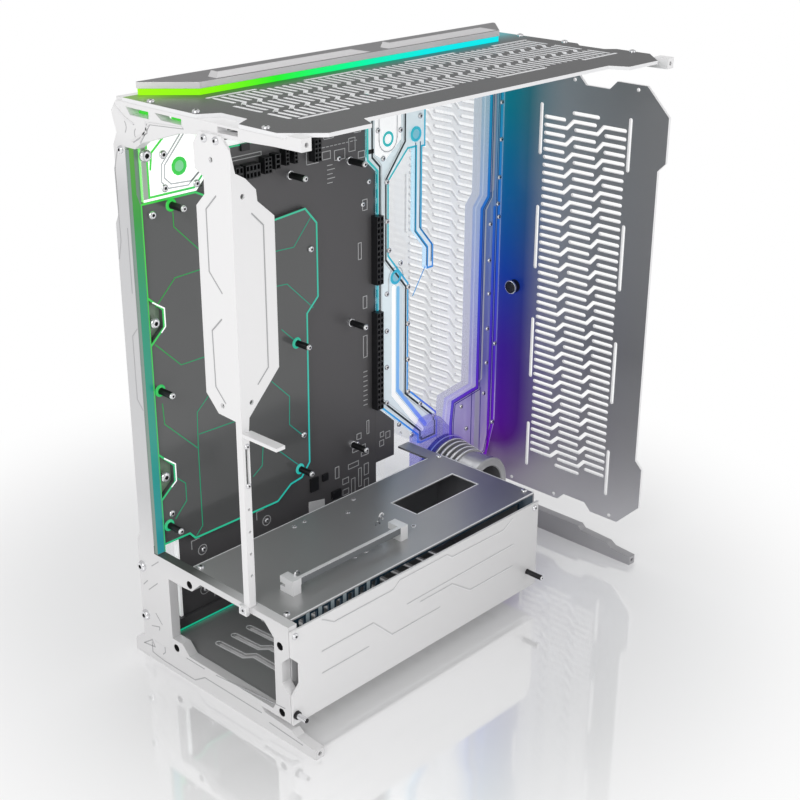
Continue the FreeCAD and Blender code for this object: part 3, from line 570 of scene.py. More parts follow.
case_length = 0.447
ridge_colours = [(0.0, (0.42, 1.0, 0.0)), (0.14, (0.25, 1.0, 0.0)), (0.28, (0.02, 0.95, 0.02)),
                 (0.45, (0.0, 1.0, 0.28)), (0.68, (0.0, 0.85, 0.85)), (1.0, (0.0, 0.85, 0.95))]
ridge_light, tree, inputs = principled("ridge_light", (0.01, 0.03, 0.01), Roughness=0.2,
                                       Specular_IOR_Level=0.1, Emission_Strength=0.95)
tree.links.new(along(tree, "X", datum.x, datum.x + case_length, ridge_colours), inputs["Emission Color"])
wear(ridge_light, "ridge_light_strip")
ridge_metal = finish("ridge_metal", (0.19, 0.185, 0.19), 0.4, 0.34, (420, (40, 1, 1), 0.2), 0.06, edge=0.0006)
# Painted light: the cap's sides are painted pale and its top dark, by the direction that each face looks.
tree, inputs = opened(ridge_metal)
flat = rescaled(tree, facing(tree)["Z"], 0.90, 0.98)
tree.links.new(mix(tree, flat, (0.78, 0.77, 0.78), (0.17, 0.165, 0.172)), inputs["Base Color"])
wear(ridge_metal, "ridge_cap")

# Painted light: the strip's light that spills over the top panel beside it is painted into the panel's
# emission.
tree, inputs = opened(top_grey)
near = calc(tree, "POWER", rescaled(tree, where(tree)["Y"], datum.y - 0.045, datum.y + 0.004), 3.0)
painted_spill = along(tree, "X", datum.x, datum.x + case_length, ridge_colours)
tree.links.new(scaled(tree, painted_spill, near), inputs["Emission Color"])
inputs["Emission Strength"].default_value = 0.28

# Clear plates
# The wall, the corner reservoir, the channel plate and the two-layer front
# strip are cast acrylic, screwed down; light fed in at the edges leaves there.


def clear(name, tint, edge_light, haze=0.0, through=1.0, lit=0.0, edge_tint=None, edge_body=1.0,
          edge_milk=0.0):
    """Cast acrylic: how much light passes through, and how strongly its faces and edges give off light.

    The haze is the case lights' share on the faces and lit their white glow, a painted light; edge_body is
    how solid the edges look and edge_milk their white glow, painted light as well.
    """
    made, tree, inputs = principled(name, tint, Roughness=0.04, IOR=1.06, Transmission_Weight=through,
                                    Coat_Weight=1.0, Coat_IOR=1.45, Coat_Roughness=0.04,
                                    Emission_Strength=edge_light)
    flat = calc(tree, "ABSOLUTE", facing(tree)["Y"])
    edge = rescaled(tree, flat, 0.9, 0.6, haze, 1.0)
    glow = first(tree, "ShaderNodeGroup", {"Level": edge}, node_tree=case_light)
    milk = rescaled(tree, flat, 0.6, 0.9, edge_milk, lit)
    tree.links.new(first(tree, "ShaderNodeVectorMath", {0: glow, 1: milk}), inputs["Emission Color"])
    if edge_tint:
        tree.links.new(mix(tree, edge, tint, edge_tint), inputs["Base Color"])
    shadow = add(tree, "ShaderNodeLightPath").outputs["Is Shadow Ray"]
    body = calc(tree, "MULTIPLY", calc(tree, "MULTIPLY_ADD", shadow, -0.85, 1.0),
                rescaled(tree, flat, 0.9, 0.6, 1.0, edge_body))
    tree.links.new(body, inputs["Alpha"])
    return made


clear_wall = clear("clear_wall", (0.98, 0.99, 1.0), 0.25)
wear(clear_wall, "wall_sheet")
seal_cord = finish("seal_cord", (0.02, 0.03, 0.035), 0.0, 0.6, edge=0)
wear(seal_cord, "channel_seal", "front_strip_seal")
lit_line = glowing("lit_line", 0.85, (0.05, 0.12, 0.08))
milled = finish("milled_acrylic", (0.62, 0.64, 0.66), 0.1, 0.2, edge=0)
# Painted light: a white that glows of its own, for the pale runs in the channel, the white behind the header,
# the lit edge of the wall, the strip above the board's notch and the highlights on the cover's bevels.
painted_white_light = finish("white_painted_light", (0.95, 0.96, 0.97), 0.0, 0.3, edge=0, Emission_Strength=0.35,
                      Emission_Color=(1, 1, 1, 1))
board_face, channel_face, cover_face, reservoir_face, strip_face = 20.0, 18.0, 15.0, 10.0, 4.0


def inlay(name, paths, width, face, proud, sunk, material):
    """Lines in the window side of a plate: how far they stand out of its face and reach into it."""
    return bands(name, paths, width, "y", face - proud, face + sunk, material)


board_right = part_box("cable_board")[1].x * 1000 - datum.x * 1000
strip_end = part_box("front_strip_backing")[1].x * 1000 - datum.x * 1000


def bay(share):
    """Place between the cable board and the front frame, as a share of that bay."""
    return board_right + share * (strip_end - board_right)


def closed(points):
    return list(points) + [points[0]]


def shrunk(points, distance):
    """Outline drawn in by a distance."""
    pts = [Vector(p) for p in points]
    area = sum(p.x * q.y - q.x * p.y for p, q in zip(pts, pts[1:] + pts[:1]))
    made = []
    for k, p in enumerate(pts):
        one, two = (p - pts[k - 1]).normalized(), (pts[(k + 1) % len(pts)] - p).normalized()
        first, last = Vector((-one.y, one.x)), Vector((-two.y, two.x))
        made.append(p + (first + last) * math.copysign(distance, area) / (1 + first.dot(last)))
    return made


# Channel plate
# Milled acrylic that leads the coolant past the board: its edge glows, a black
# cord seals it, and short bores and pale runs show inside.
channel_acrylic = clear("channel_acrylic", (0.80, 0.87, 0.90), 0.6, 0.04, 0.35, 0.26, (0.45, 0.68, 0.76), 0.4)
wear(channel_acrylic, "channel_plate")
channel_outline = [(board_right - 12.7, 469.7), (board_right - 12.7, 392), (board_right + 0.3, 380),
                   (board_right + 0.3, 145)]
channel_outline += [(bay(share), z) for share, z in (
    (0.372, 93), (0.372, 84), (0.548, 84), (0.548, 112), (0.277, 150), (0.277, 262), (0.101, 296),
    (0.101, 368),
    (0.265, 394), (0.331, 394), (0.331, 312), (0.44, 292), (0.44, 270), (0.5, 270), (0.5, 293), (0.39, 313),
    (0.39, 393), (0.416, 393), (0.416, 469.7))]
inlay("channel_edge_glow", [closed(shrunk(channel_outline, 1.0))], 1.9, channel_face, 0.15, 0.1, lit_line)
seal_run = [(273, 466), (273, 394), (283, 384), (283, 150), (342, 97), (342, 88), (362, 88), (362, 108),
            (319, 146), (319, 259), (291, 292), (291, 370), (317, 402), (317, 466)]
inlay("channel_seal_line", [closed(seal_run)], 2.0, channel_face, 0.2, 0.1, seal_cord)
inlay("channel_groove", [closed(shrunk(seal_run, 2.4))], 0.7, channel_face, 0.18, 0.08, milled)
pipes = [[(bay(0.331), 398), (bay(0.331), 312), (bay(0.44), 292), (bay(0.44), 274)]]
pipes += [[(u + 6.5, v + (3 if v < 395 else 0)) for u, v in pipes[0]]]
pipe_blue = glowing("pipe_blue", 0.10, (0.03, 0.10, 0.16))
inlay("pipe_lines", pipes, 1.2, channel_face, 0.15, 0.1, pipe_blue)
inlay("pipe_tail", [[(bay(0.44), 272), (bay(0.33), 246)]], 0.9, board_face, 0.1, 0.2, lit_line)
inlay("channel_water", [[(302, 262), (302, 150), (345, 98)]], 5.0, channel_face, 0.1, 0.1, painted_white_light)
inlay("channel_blue", [[(308, 260), (308, 153), (350, 102)]], 4.4, channel_face, 0.15, 0.1,
      glowing("channel_blue", 0.85))
bores = [[(278.5, z), (278.5, z + 7)] for z in range(160, 372, 14)]
inlay("channel_bores", bores, 1.6, channel_face, 0.14, 0.05, glowing("bore_teal", 0.35, (0.02, 0.06, 0.08)))
slabs("header_white", [shrunk([(276, 467), (276, 396), (290, 388), (312, 405), (312, 467)], 0.6)],
      "y", 17.88, 18.02, painted_white_light)
port_rims = [[(u, 816 - v) for u, v in arc(294, 408, 12, 9, 8)], [(282, 408), (282, 440)],
             [(306, 408), (306, 440)], arc(305, 272, 10, 9, 8), [(295, 272), (295, 258)],
             [(315, 272), (315, 262)]]
inlay("port_rim", port_rims, 1.2, channel_face, 0.15, 0.1, milled)

# Front strip
# Two layers of clear acrylic beside the front frame, tinted blue to violet by
# the light at their edges, with a sealing cord and straight milled runs.
strip_acrylic = clear("strip_acrylic", (0.42, 0.50, 0.66), 0.28, 0.40, 0.55, 0.0, None, 0.5, 1.3)
shaded(strip_acrylic, "Z", datum.z + 0.04, datum.z + 0.47,
       [(0.0, (0.80, 0.77, 0.90)), (0.17, (0.80, 0.77, 0.90)), (0.24, (0.38, 0.40, 0.66)),
        (0.5, (0.40, 0.48, 0.66)), (1.0, (0.42, 0.54, 0.62))])
backing_acrylic = clear("backing_acrylic", (0.74, 0.76, 0.86), 0.20, 0.05, 0.85, 0.0, (0.82, 0.86, 0.96), 0.6,
                        2.8)
wear(strip_acrylic, "front_strip")
wear(backing_acrylic, "front_strip_backing")
strip_outline = [(bay(share), z) for share, z in (
    (0.901, 469.7), (0.901, 332), (0.838, 321), (0.838, 130), (0.599, 125), (0.58, 100), (0.58, 43),
    (0.97, 43))]
strip_outline += [(443, 78), (443, 446), (435, 447), (435, 469.7)]
inlay("strip_edge_glow", [closed(shrunk(strip_outline, 2.0))], 3.6, strip_face, 0.15, 0.1,
      glowing("strip_rim", 0.62, (0.04, 0.03, 0.2)))
inlay("strip_seal_line", [closed(shrunk(strip_outline, 4.4)), closed(shrunk(strip_outline, 6.6))], 1.0,
      strip_face, 0.2, 0.1, glowing("strip_blue", 0.22, (0.02, 0.02, 0.08)))
inlay("strip_violet_channel", [[(434, 52), (434, 318)]], 3.4, strip_face, 0.15, 0.1,
      glowing("strip_violet", 0.55, (0.05, 0.03, 0.2)))
inlay("strip_pale_channel", [[(415, 50), (415, 126)], [(429, 338), (429, 462)]], 7.0, strip_face, 0.05, 0.1,
      finish("pale_lilac", (0.52, 0.50, 0.66), 0.0, 0.2, edge=0))
inlay("strip_dark_seam", [[(406, 48), (406, 126)], [(420.5, 48), (420.5, 126)]], 0.9, strip_face, 0.2, 0.1,
      finish("seam_violet", (0.05, 0.04, 0.26), 0.0, 0.3, edge=0))
inlay("strip_water", [[(430, 462), (430, 330), (421, 318), (421, 136), (400, 124)]], 2.0, strip_face, 0.1,
      0.1, milled)

# Corner reservoir
# Thick clear block behind the rear gusset, with a painted white glow for the light
# behind it, a milled pocket and green light at its edge.
reservoir_acrylic = clear("reservoir_acrylic", (0.95, 0.97, 0.95), 0.8, 0.0, 0.1, 0.60, (0.30, 0.42, 0.28))
wear(reservoir_acrylic, "corner_reservoir")
pocket = [(50, 455), (28.5, 432), (27.7, 418), (34, 412), (54, 411), (72, 424)]
pocket_wall = [(u + 3, v + (-1 if v > 430 else 3)) for u, v in pocket]
inlay("reservoir_pocket", [pocket, pocket_wall], 1.3, reservoir_face, 0.15, 0.1, milled)
glow_lines = [[(15, 468), (15, 408), (60, 408), (70, 418)], [(34, 455), (19.5, 443), (17.6, 430)]]
inlay("reservoir_glow", glow_lines, 1.8, reservoir_face, 0.15, 0.1, lit_line)
slabs("reservoir_side", [[(9.4, 407), (14.4, 407), (14.4, 469), (9.4, 469)]], "y", 9.9, 10.05,
      finish("side_acrylic", (0.42, 0.48, 0.42), 0.0, 0.1, edge=0))

# Ports
# Plugged screw-in ports of the reservoir and the channel plate: a frosted disc
# in a lit ring.
ports = [(46, 10, 428), (bay(0.0945), 18, 408), (bay(0.164), 18, 272), (bay(0.334), 18, 406.5)]
turned("port_discs", ports, "y", ring(0.1, 4.5, 3.0, -0.1), glowing("port_disc", 0.55, (0.30, 0.42, 0.42)))
port_ring = [(4.6, 3.5), (4.6, -0.3), (5.0, -0.6), (6.8, -0.6), (7.2, -0.3), (7.2, 3.5), (4.6, 3.5)]
corner_ring = turned("corner_port_rim", ports[:1], "y", port_ring, lit_line)
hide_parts("corner_port_ring")
channel_rings = turned("channel_port_rims", ports[1:], "y", port_ring, lit_line)
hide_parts("channel_port_rings")

# Front light, painted
# Painted light: the light that the front strip spills onto the wall side of the front panel is painted into
# the panel's emission, with painted shade darkening its base colour there; lower down the panel is painted
# lighter as a painted reflection of the floor.
tree, inputs = opened(front_grey)
place = where(tree)
strong = rescaled(tree, place["Y"], datum.y - 0.085, datum.y + 0.02, kind="SMOOTHERSTEP")
faint = rescaled(tree, place["Y"], datum.y - 0.17, datum.y + 0.02, 0.0, 0.16)
foot_fade = rescaled(tree, place["Z"], datum.z + 0.015, datum.z + 0.09, 0.25, 1.0, kind="SMOOTHSTEP")
faded = calc(tree, "MULTIPLY", calc(tree, "ADD", strong, faint), foot_fade)
level = calc(tree, "MULTIPLY", faded, calc(tree, "LESS_THAN", facing(tree)["X"], -0.5))
glow = first(tree, "ShaderNodeGroup", {"Level": level}, node_tree=case_light)
tree.links.new(glow, inputs["Emission Color"])
inputs["Emission Strength"].default_value = 0.36
height = rescaled(tree, place["Z"], datum.z + 0.02, datum.z + 0.2)
painted_floor_sheen = mix(tree, height, (0.66, 0.655, 0.68), (0.30, 0.30, 0.315))
painted_wall_shade = rescaled(tree, level, 0.0, 0.75, 1.0, 0.06)
tree.links.new(scaled(tree, painted_floor_sheen, painted_wall_shade), inputs["Base Color"])

# Cable board and its fittings
# A thin black circuit board covers the wall behind the motherboard; it carries
# header strips, threaded standoffs and small soldered parts.
black_board = finish("board_black", (0.100, 0.097, 0.101), 0.15, 0.42, (1500, (1, 1, 1), 0.15), 0.08)
black_plastic = finish("moulded_black", (0.012, 0.012, 0.014), 0.0, 0.35)
legend = finish("board_legend", (0.55, 0.55, 0.56), 0.0, 0.5, edge=0)
steel = finish("bright_steel", (0.78, 0.78, 0.80), 0.8, 0.2, edge=0.0002)
# Painted shade: near black for the shade inside the screws' hexagon sockets, the clamp bolt's socket and the
# counterbores of the rear frame.
painted_recess_shade = finish("painted_recess_shade", (0.03, 0.03, 0.032), 0.3, 0.4, edge=0)
black_steel = finish("black_turned", (0.02, 0.02, 0.022), 0.5, 0.3, edge=0.0002)
wear(black_board, "cable_board", "lower_rail")
board_feet = [[(29, 15.3), (60, 15.3), (60, 96), (29, 96)], [(278, 144), (305, 120), (305, 82), (278, 82)]]
slabs("board_foot", board_feet, "y", 19.9, 24.0, black_board)
slabs("wall_lit_edge", [[(26.6, 15.3), (29, 15.3), (29, 96), (26.6, 96)]], "y", 19.9, 24.0, painted_white_light)
bands("wall_foot_light", [[(10, 4.2), (180, 4.2)]], 1.6, "y", 16.7, 17.0, lit_line)
# Painted light: a glowing line and a glowing white strip along the top of the board's notch.
inlay("board_notch_light", [[(100, 431.4), (131, 431.4)]], 1.5, board_face, 0.2, 0.1, lit_line)
slabs("board_notch_white", [[(100, 432.4), (131, 432.4), (131, 438), (100, 438)]], "y", 19.9, 20.1,
      painted_white_light)


def header_cell():
    """One square way of a header: a black box open towards the window side, 1 by 1 by 1."""
    held = bmesh.new()
    corners = ((-.5, -.5), (.5, -.5), (.5, .5), (-.5, .5))
    rims = [[held.verts.new((x * s, y, z * s)) for x, z in corners]
            for s, y in ((1, 1), (1, 0), (0.66, 0), (0.66, 0.5))]
    joined(held, rims)
    held.faces.new(rims[-1])
    held.faces.new(rims[0])
    return placed("header_cell", meshed("header_cell", held))


def header_tree():
    """Grid of equal ways, columns along X and rows along Z."""
    tree, entry, out = geometry_tree(
        "header_ways", ("Way", "Object", None), ("Columns", "Int", 2),
        ("Rows", "Int", 12), ("Width", "Float", 8.0), ("Height", "Float", 60.0),
        ("Depth", "Float", 8.0), ("Body", "Material", None))
    wide = calc(tree, "DIVIDE", entry["Width"], entry["Columns"])
    tall = calc(tree, "DIVIDE", entry["Height"], entry["Rows"])
    across = first(tree, "ShaderNodeCombineXYZ", {"X": wide})
    upward = first(tree, "ShaderNodeCombineXYZ", {"Z": tall})
    row = first(tree, "GeometryNodeMeshLine", {"Count": entry["Columns"], "Offset": across})
    column = first(tree, "GeometryNodeMeshLine", {"Count": entry["Rows"], "Offset": upward})
    size = first(tree, "ShaderNodeCombineXYZ", {"X": wide, "Y": entry["Depth"], "Z": tall})
    ways = copies(tree, copies(tree, column, row), shape_of(tree, entry["Way"]), Scale=size)
    tree.links.new(dressed_in(tree, ways, entry["Body"]), out)
    return tree


header_ways = header_tree()
cell = header_cell()
header_y = 12
for x0, z0, wide, tall, columns, rows in (
        (273.5, 272, 8.5, 67, 2, 12), (273.5, 143, 8.5, 101, 2, 18), (106, 403, 8, 12, 2, 2),
        (117, 403, 16, 12, 4, 2), (138, 404, 8, 14, 2, 4), (150, 406, 6, 13, 1, 3), (162, 407, 4, 14, 1, 4),
        (172, 407, 4, 14, 1, 4), (196, 404, 8, 20, 2, 5)):
    made = grown("header_%d_%d" % (x0, z0), header_ways, {
        "Way": cell, "Columns": columns, "Rows": rows, "Width": wide, "Height": tall, "Depth": 8.0,
        "Body": black_plastic})
    corner = spot(x0 + wide / columns / 2, header_y, z0 + tall / rows / 2)
    for v in made.data.vertices:
        v.co = corner + v.co / 1000
    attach(made, "root")
bpy.data.objects.remove(cell)
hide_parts("board_header_upper")
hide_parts("board_header_lower")
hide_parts("board_top_headers")

# Standoffs
# Nine black turned posts on the standard motherboard grid, each with a bright
# end; those behind the smoked cover stand in a glowing seat.
first_standoff, top_row = 16.8, 396.3
columns, rows, corner_shift = (0.0, 154.94, 227.33), (0.0, 154.94, 281.94), 22.86
standoff_spots = [(first_standoff + column + (corner_shift if column == row == 0 else 0), 20, top_row - row)
                  for column in columns for row in rows]
posts = turned("board_standoffs_turned", standoff_spots, "y",
               [(1.5, -9), (1.5, -20), (2.6, -20), (3.0, -19.4), (3.0, 0), (1.5, 0), (1.5, -9)], black_steel,
               sides=24)
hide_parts("board_standoffs")
turned("standoff_collars", [p for p in standoff_spots if p[0] > 60], "y",
       [(3.2, -3.2), (3.9, -3.0), (3.9, 0), (3.2, 0), (3.2, -3.2)], steel, sides=24)
under_cover = [(x, 15.3, z) for x, y, z in standoff_spots if x < 60 or (x < 180 and z < 300)]
turned("standoff_seats", under_cover, "y",
       [(3.3, -1.4), (4.6, -1.0), (5.4, 0), (3.3, 0), (3.3, -1.4)], lit_line, sides=24)

# Small parts of the board
# White printed outlines, black chips and a few soldered blocks, read from the
# photograph as plain shapes without lettering.


def square(x, z, wide, tall):
    return [(x, z), (x + wide, z), (x + wide, z + tall), (x, z + tall), (x, z)]


marks = [arc(x, z, 5, 13, 6) for x, z in ((55, 73), (55, 32), (132, 73))]
marks += [[(43, 78), (43, 86), (52, 86)], [(120, 78), (120, 86), (129, 86)], [(66, 20), (66, 28), (57, 28)]]
marks += [square(*box) for box in (
    (232, 62, 8, 6), (232, 74, 8, 6), (244, 60, 5, 16), (254, 64, 4, 20), (262, 60, 6, 9), (262, 74, 6, 12),
    (240, 88, 14, 5), (258, 96, 10, 4), (222, 84, 5, 12), (246, 104, 18, 4), (266, 118, 3, 14),
    (252, 116, 6, 6), (262, 200, 5, 22), (262, 250, 5, 12), (256, 300, 4, 16), (262, 346, 6, 10),
    (214, 420, 12, 5), (232, 426, 16, 10), (252, 420, 8, 18), (86, 424, 10, 14), (98, 440, 30, 5),
    (193, 401, 14, 26), (212, 402, 10, 7), (227, 399, 13, 9), (245, 404, 8, 12), (257, 396, 8, 6),
    (107, 419, 34, 3), (285, 108, 5, 5), (293, 104, 6, 7), (284, 98, 6, 6))]
marks += [[(212 + 5 * k, 413), (215 + 5 * k, 413)] for k in range(9)]
marks += [[(218, 396 - 4 * k), (224 + 3 * (k % 2), 396 - 4 * k)] for k in range(5)]
marks += [[(262, 150 + 5 * k), (267, 150 + 5 * k)] for k in range(8)]
inlay("board_marks", marks, 0.7, board_face, 0.25, 0.05, legend)
chips = [(188, 82, 10, 14), (204, 88, 7, 7), (216, 64, 12, 8), (150, 428, 12, 8), (180, 430, 9, 9),
         (238, 444, 10, 6), (118, 426, 9, 6), (268, 398, 7, 4)]
slabs("board_chips", [square(*chip)[:4] for chip in chips], "y", 17.8, 20.0, black_plastic)
slabs("board_grommet", [[(186, 60), (207, 57), (207, 68), (186, 72)]], "y", 19.7, 20.0, cut_edge_and_highlight)

# Board cover
# Smoked acrylic plate over the rear part of the board, engraved with lines
# that catch the green and teal light from its edges.
smoked = finish("smoked_plate", (0.105, 0.107, 0.108), 0.0, 0.14, edge=0.0004)
wear(smoked, "board_cover")
engraved = [[(41, 390), (41, 378), (66, 353)], [(67, 336), (39, 335), (18, 315)],
            [(193, 356), (171, 332), (149, 333)], [(149, 301), (162, 300), (193, 270)],
            [(15, 283), (40, 258), (66, 258)], [(18, 229), (19, 210), (53, 176)],
            [(67, 221), (54, 210), (53, 176), (53, 100), (45, 92)], [(55, 189), (95, 188)],
            [(25, 159), (37, 148), (37, 131), (24, 118)], [(140, 213), (161, 192), (160, 164), (175, 149)],
            [(145, 143), (169, 120)], [(127, 153), (125, 134), (114, 127)], [(154, 259), (173, 241)]]
line_light = glowing("engraved_line", 0.5, (0.02, 0.05, 0.03))
inlay("cover_lines", engraved, 0.85, cover_face, -0.1, 0.4, line_light)
cover_outline = [(9.3, 97), (38, 97), (44, 90), (143, 90), (160, 102), (174, 104), (185, 117), (186, 266),
                 (200, 279), (200, 349), (186, 365), (147, 362), (65, 403), (9.3, 403), (9.3, 324), (24, 311),
                 (24, 296), (9.3, 283), (9.3, 184), (25, 169), (25, 154), (9.3, 141)]
inlay("cover_edge_glow", [closed(shrunk(cover_outline, 0.9))], 1.7, cover_face, 0, 0.5, lit_line)
notches = [[(9.4, 283), (24, 296), (24, 311), (9.4, 324)], [(9.4, 141), (25, 154), (25, 169), (9.4, 184)]]
notch_acrylic = finish("notch_acrylic", (0.22, 0.30, 0.22), 0.0, 0.15, edge=0)
slabs("cover_notches", notches, "y", 19.7, 20.1, notch_acrylic)
# Painted highlights on the bevels inside the cover's notches.
bevel_highlights = [[(15, 319.5), (26.2, 312), (26.2, 296), (22, 292)],
          [(16, 179), (27.2, 170), (27.2, 154), (22, 150)]]
inlay("cover_bevels", bevel_highlights, 1.2, cover_face, 0.1, 0.3, painted_white_light)

# Light bar
# Clear acrylic bar on the rear post: saturated along the post, pale and
# see-through beside the cover; green light is also painted into the arm's windows.
bar_face = finish("light_bar_face", (0.20, 0.28, 0.24), 0.0, 0.1, edge=0)
wear(bar_face, "edge_light_bar")
bar_light = finish("light_bar_glow", (0.01, 0.03, 0.02), 0.0, 0.2, edge=0, Emission_Strength=0.8)
tree, inputs = opened(bar_light)
bar_colours = along(tree, "Z", datum.z + 0.09, datum.z + 0.45,
                    [(0.0, (0.02, 0.30, 0.36)), (0.3, (0.01, 0.33, 0.27)), (0.66, (0.01, 0.33, 0.17)),
                     (0.84, (0.02, 0.36, 0.03)), (1.0, (0.10, 0.42, 0.02))])
tree.links.new(bar_colours, inputs["Emission Color"])
slabs("light_bar_band", [[(0.6, 93), (7.6, 93), (7.6, 403), (4.7, 412), (4.7, 468), (0.6, 468)]],
      "y", 12.45, 12.75, bar_light)
bands("light_bar_bright_edge", [[(8.6, 93), (8.6, 403)]], 0.8, "y", 12.45, 12.75, lit_line)
# Painted light: green glowing sheets in the arm's windows.
arm_lights = [[(13, 471), (-17, 471), (-17, 483), (13, 483)],
              [(-31, 471), (-54, 471), (-54, 482), (-31, 482)]]
slabs("arm_window_light", arm_lights, "x", 9.6, 10.4, lit_line)

# Pump
# Ribbed body of turned aluminium on a clear flange, with a broad front ring
# and a dark bore.
mount_acrylic = clear("mount_acrylic", (0.50, 0.46, 0.82), 0.14, 0.25, 0.8, 0.0, (0.26, 0.22, 0.60), 0.5)
wear(mount_acrylic, "pump_mount")
pump_metal = finish("pump_metal", (0.40, 0.40, 0.41), 0.6, 0.24, edge=0.0003)
pump_spot = [(bay(0.517), 0, 52.0)]
pump_ribs = [(-32 + k * 5.9, 32.0 + k) for k in range(5)]
profile = [(22, -22), (22, -57), (23, -58), (29.5, -58), (31, -56.5), (31, -50.5), (30.3, -50), (30.3, -32)]
for back, crest in pump_ribs:
    profile += [(29.2, back), (crest - 0.6, back + 0.5), (crest, back + 1.2), (crest + 0.1, back + 3.2),
                (29.2, back + 4.2)]
profile += [(29.2, -1), (22, -1), (22, -22)]
body = turned("pump_turned_body", pump_spot, "y", profile, pump_metal, sides=96)
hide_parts("pump_body", "pump_collar")
# Painted highlights: a thin bright ring on each rib's crest.
for k, (back, crest) in enumerate(pump_ribs):
    rib_highlight = [(crest - 0.4, back + 0.9), (crest + 0.15, back + 1.1), (crest + 0.2, back + 1.8),
                (crest - 0.4, back + 2.0), (crest - 0.4, back + 0.9)]
    turned("pump_rib_edge_%d" % (k + 1), pump_spot, "y", rib_highlight, cut_edge_and_highlight, sides=96)
turned("pump_flange", pump_spot, "y", ring(22, 38.4, 4, -1), mount_acrylic, sides=96)
turned("pump_flange_glow", pump_spot, "y", ring(37.2, 38.2, -0.6, -1.2), glowing("flange_glow", 0.45),
       sides=96)
core = turned("pump_dark_core", pump_spot, "y",
              [(0.1, -26), (8, -26), (9, -28), (16, -28), (17, -24), (21.8, -24), (21.8, -18), (0.1, -18),
               (0.1, -26)], black_plastic, sides=64)
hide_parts("pump_core")

# Slot bracket and its arm
# Folded and milled sheet that holds the expansion cards, with a long stem and
# a short support arm; white like the frames.
wear(white_metal, "slot_bracket", "card_support", "stem_clamp")
bracket_rear = [[(-93, 432), (-81, 420), (-81, 372), (-95, 358)],
                [(-93, 337), (-81, 325), (-82, 279), (-93, 268)]]
bands("bracket_rear_lines", bracket_rear, 1.0, "x", -2.12, -1.9, rim_shadow)
bands("bracket_side_lines", [[(16, 419), (27, 408), (27, 295), (16, 284)]], 1.0, "y", -111.12, -110.9,
      rim_shadow)

# Power supply tunnel
# Folded sheet: brushed grey top plate with a cable window, inner side with vents
# that is painted dark as painted shade, floor with zigzag slots and a white engraved side cover.
shelf_metal = finish("brushed_shelf", (0.33, 0.328, 0.332), 0.6, 0.33, (420, (1, 40, 1), 0.2), 0.06)
# Painted light: the shelf's base colour is lighter at the rear and darker towards the front.
shaded(shelf_metal, "X", datum.x, datum.x + 0.32,
       [(0.0, (0.50, 0.50, 0.50)), (0.55, (0.40, 0.40, 0.405)), (1.0, (0.25, 0.25, 0.27))])
wear(shelf_metal, "shelf_plate", "tunnel_floor", "tunnel_end")
tunnel_l = (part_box("shelf_plate")[1].x - datum.x) * 1000
floor_slots = [[(x, -23), (x + 2, -55), (x + 9, -61), (x + 9, -128)] for x in range(34, 260, 18)]
# Painted highlights round the floor's slots.
bands("floor_slot_rims", [closed(band_outline(path, 3.0)) for path in floor_slots], 0.9, "z", 2.9, 3.2,
      cut_edge_and_highlight)
painted_vent_shade = finish("painted_vent_shade", (0.012, 0.035, 0.06), 0.3, 0.3, edge=0)
# Painted shade: the tunnel side is dark navy above the cover, for the shade around its vents, and pale grey
# below.
shaded(painted_vent_shade, "Z", datum.z, datum.z + 0.09,
       [(0.0, (0.60, 0.60, 0.61)), (0.80, (0.55, 0.55, 0.56)), (0.83, (0.012, 0.035, 0.06)),
        (1.0, (0.012, 0.035, 0.06))])
wear(painted_vent_shade, "tunnel_side")
slabs("vent_webs", [[(x - 2, 76), (x + 2, 76), (x + 2, 90), (x - 2, 90)] for x in range(28, 112, 14)],
      "y", -147.6, -147.4, finish("vent_web", (0.42, 0.50, 0.54), 0.3, 0.3, edge=0))
cover_metal = finish("cover_anodised", (0.80, 0.795, 0.80), 0.1, 0.36, satin, 0.05)
# Painted shade: the side cover's base colour darkens from the rear towards the front.
shaded(cover_metal, "X", datum.x, datum.x + 0.33,
       [(0.0, (0.82, 0.815, 0.82)), (0.5, (0.74, 0.735, 0.74)), (1.0, (0.62, 0.615, 0.62))])
wear(cover_metal, "side_cover", "cover_spacers")
# Painted highlights along the shelf's edges.
shelf_edges = [[(10, -147.2), (tunnel_l - 0.4, -147.2)], [(tunnel_l - 0.5, -147), (tunnel_l - 0.5, -25)],
               [(10, -24.8), (tunnel_l - 16, -24.8)]]
bands("shelf_bright_edge", shelf_edges, 0.9, "z", 91.3, 92.12, cut_edge_and_highlight)
# Painted shade: a dark sheet inside the tunnel, seen through the cable window, stands for the shade there.
painted_shade_sheet = finish("painted_shade_sheet", (0.26, 0.265, 0.28), 0.3, 0.35, edge=0)
shade_end = tunnel_l - 2.2
slabs("cable_window_shade", [[(188, 5), (shade_end, 5), (shade_end, 87.5), (188, 87.5)]], "y", -26.5, -25.5,
      painted_shade_sheet)
window = [(tunnel_l - 110, -98), (tunnel_l - 24, -98), (tunnel_l - 24, -65), (tunnel_l - 110, -65)]
# Painted highlight round the cable window's edge.
bands("window_bright_edge", [closed(window)], 1.2, "z", 91.4, 92.12, cut_edge_and_highlight)
cover_end = tunnel_l - 5
side_lines = [[(35, 85), (48, 77), (119, 77), (127, 83), (187, 83), (194, 78), (cover_end - 51, 77),
               (cover_end - 38, 84)], [(34, 55), (94, 55), (117, 33), (179, 33)], [(34, 34), (89, 34)],
              [(136, 55), (cover_end - 36, 56)], [(153, 50), (195, 50), (220, 33), (cover_end - 36, 33)]]
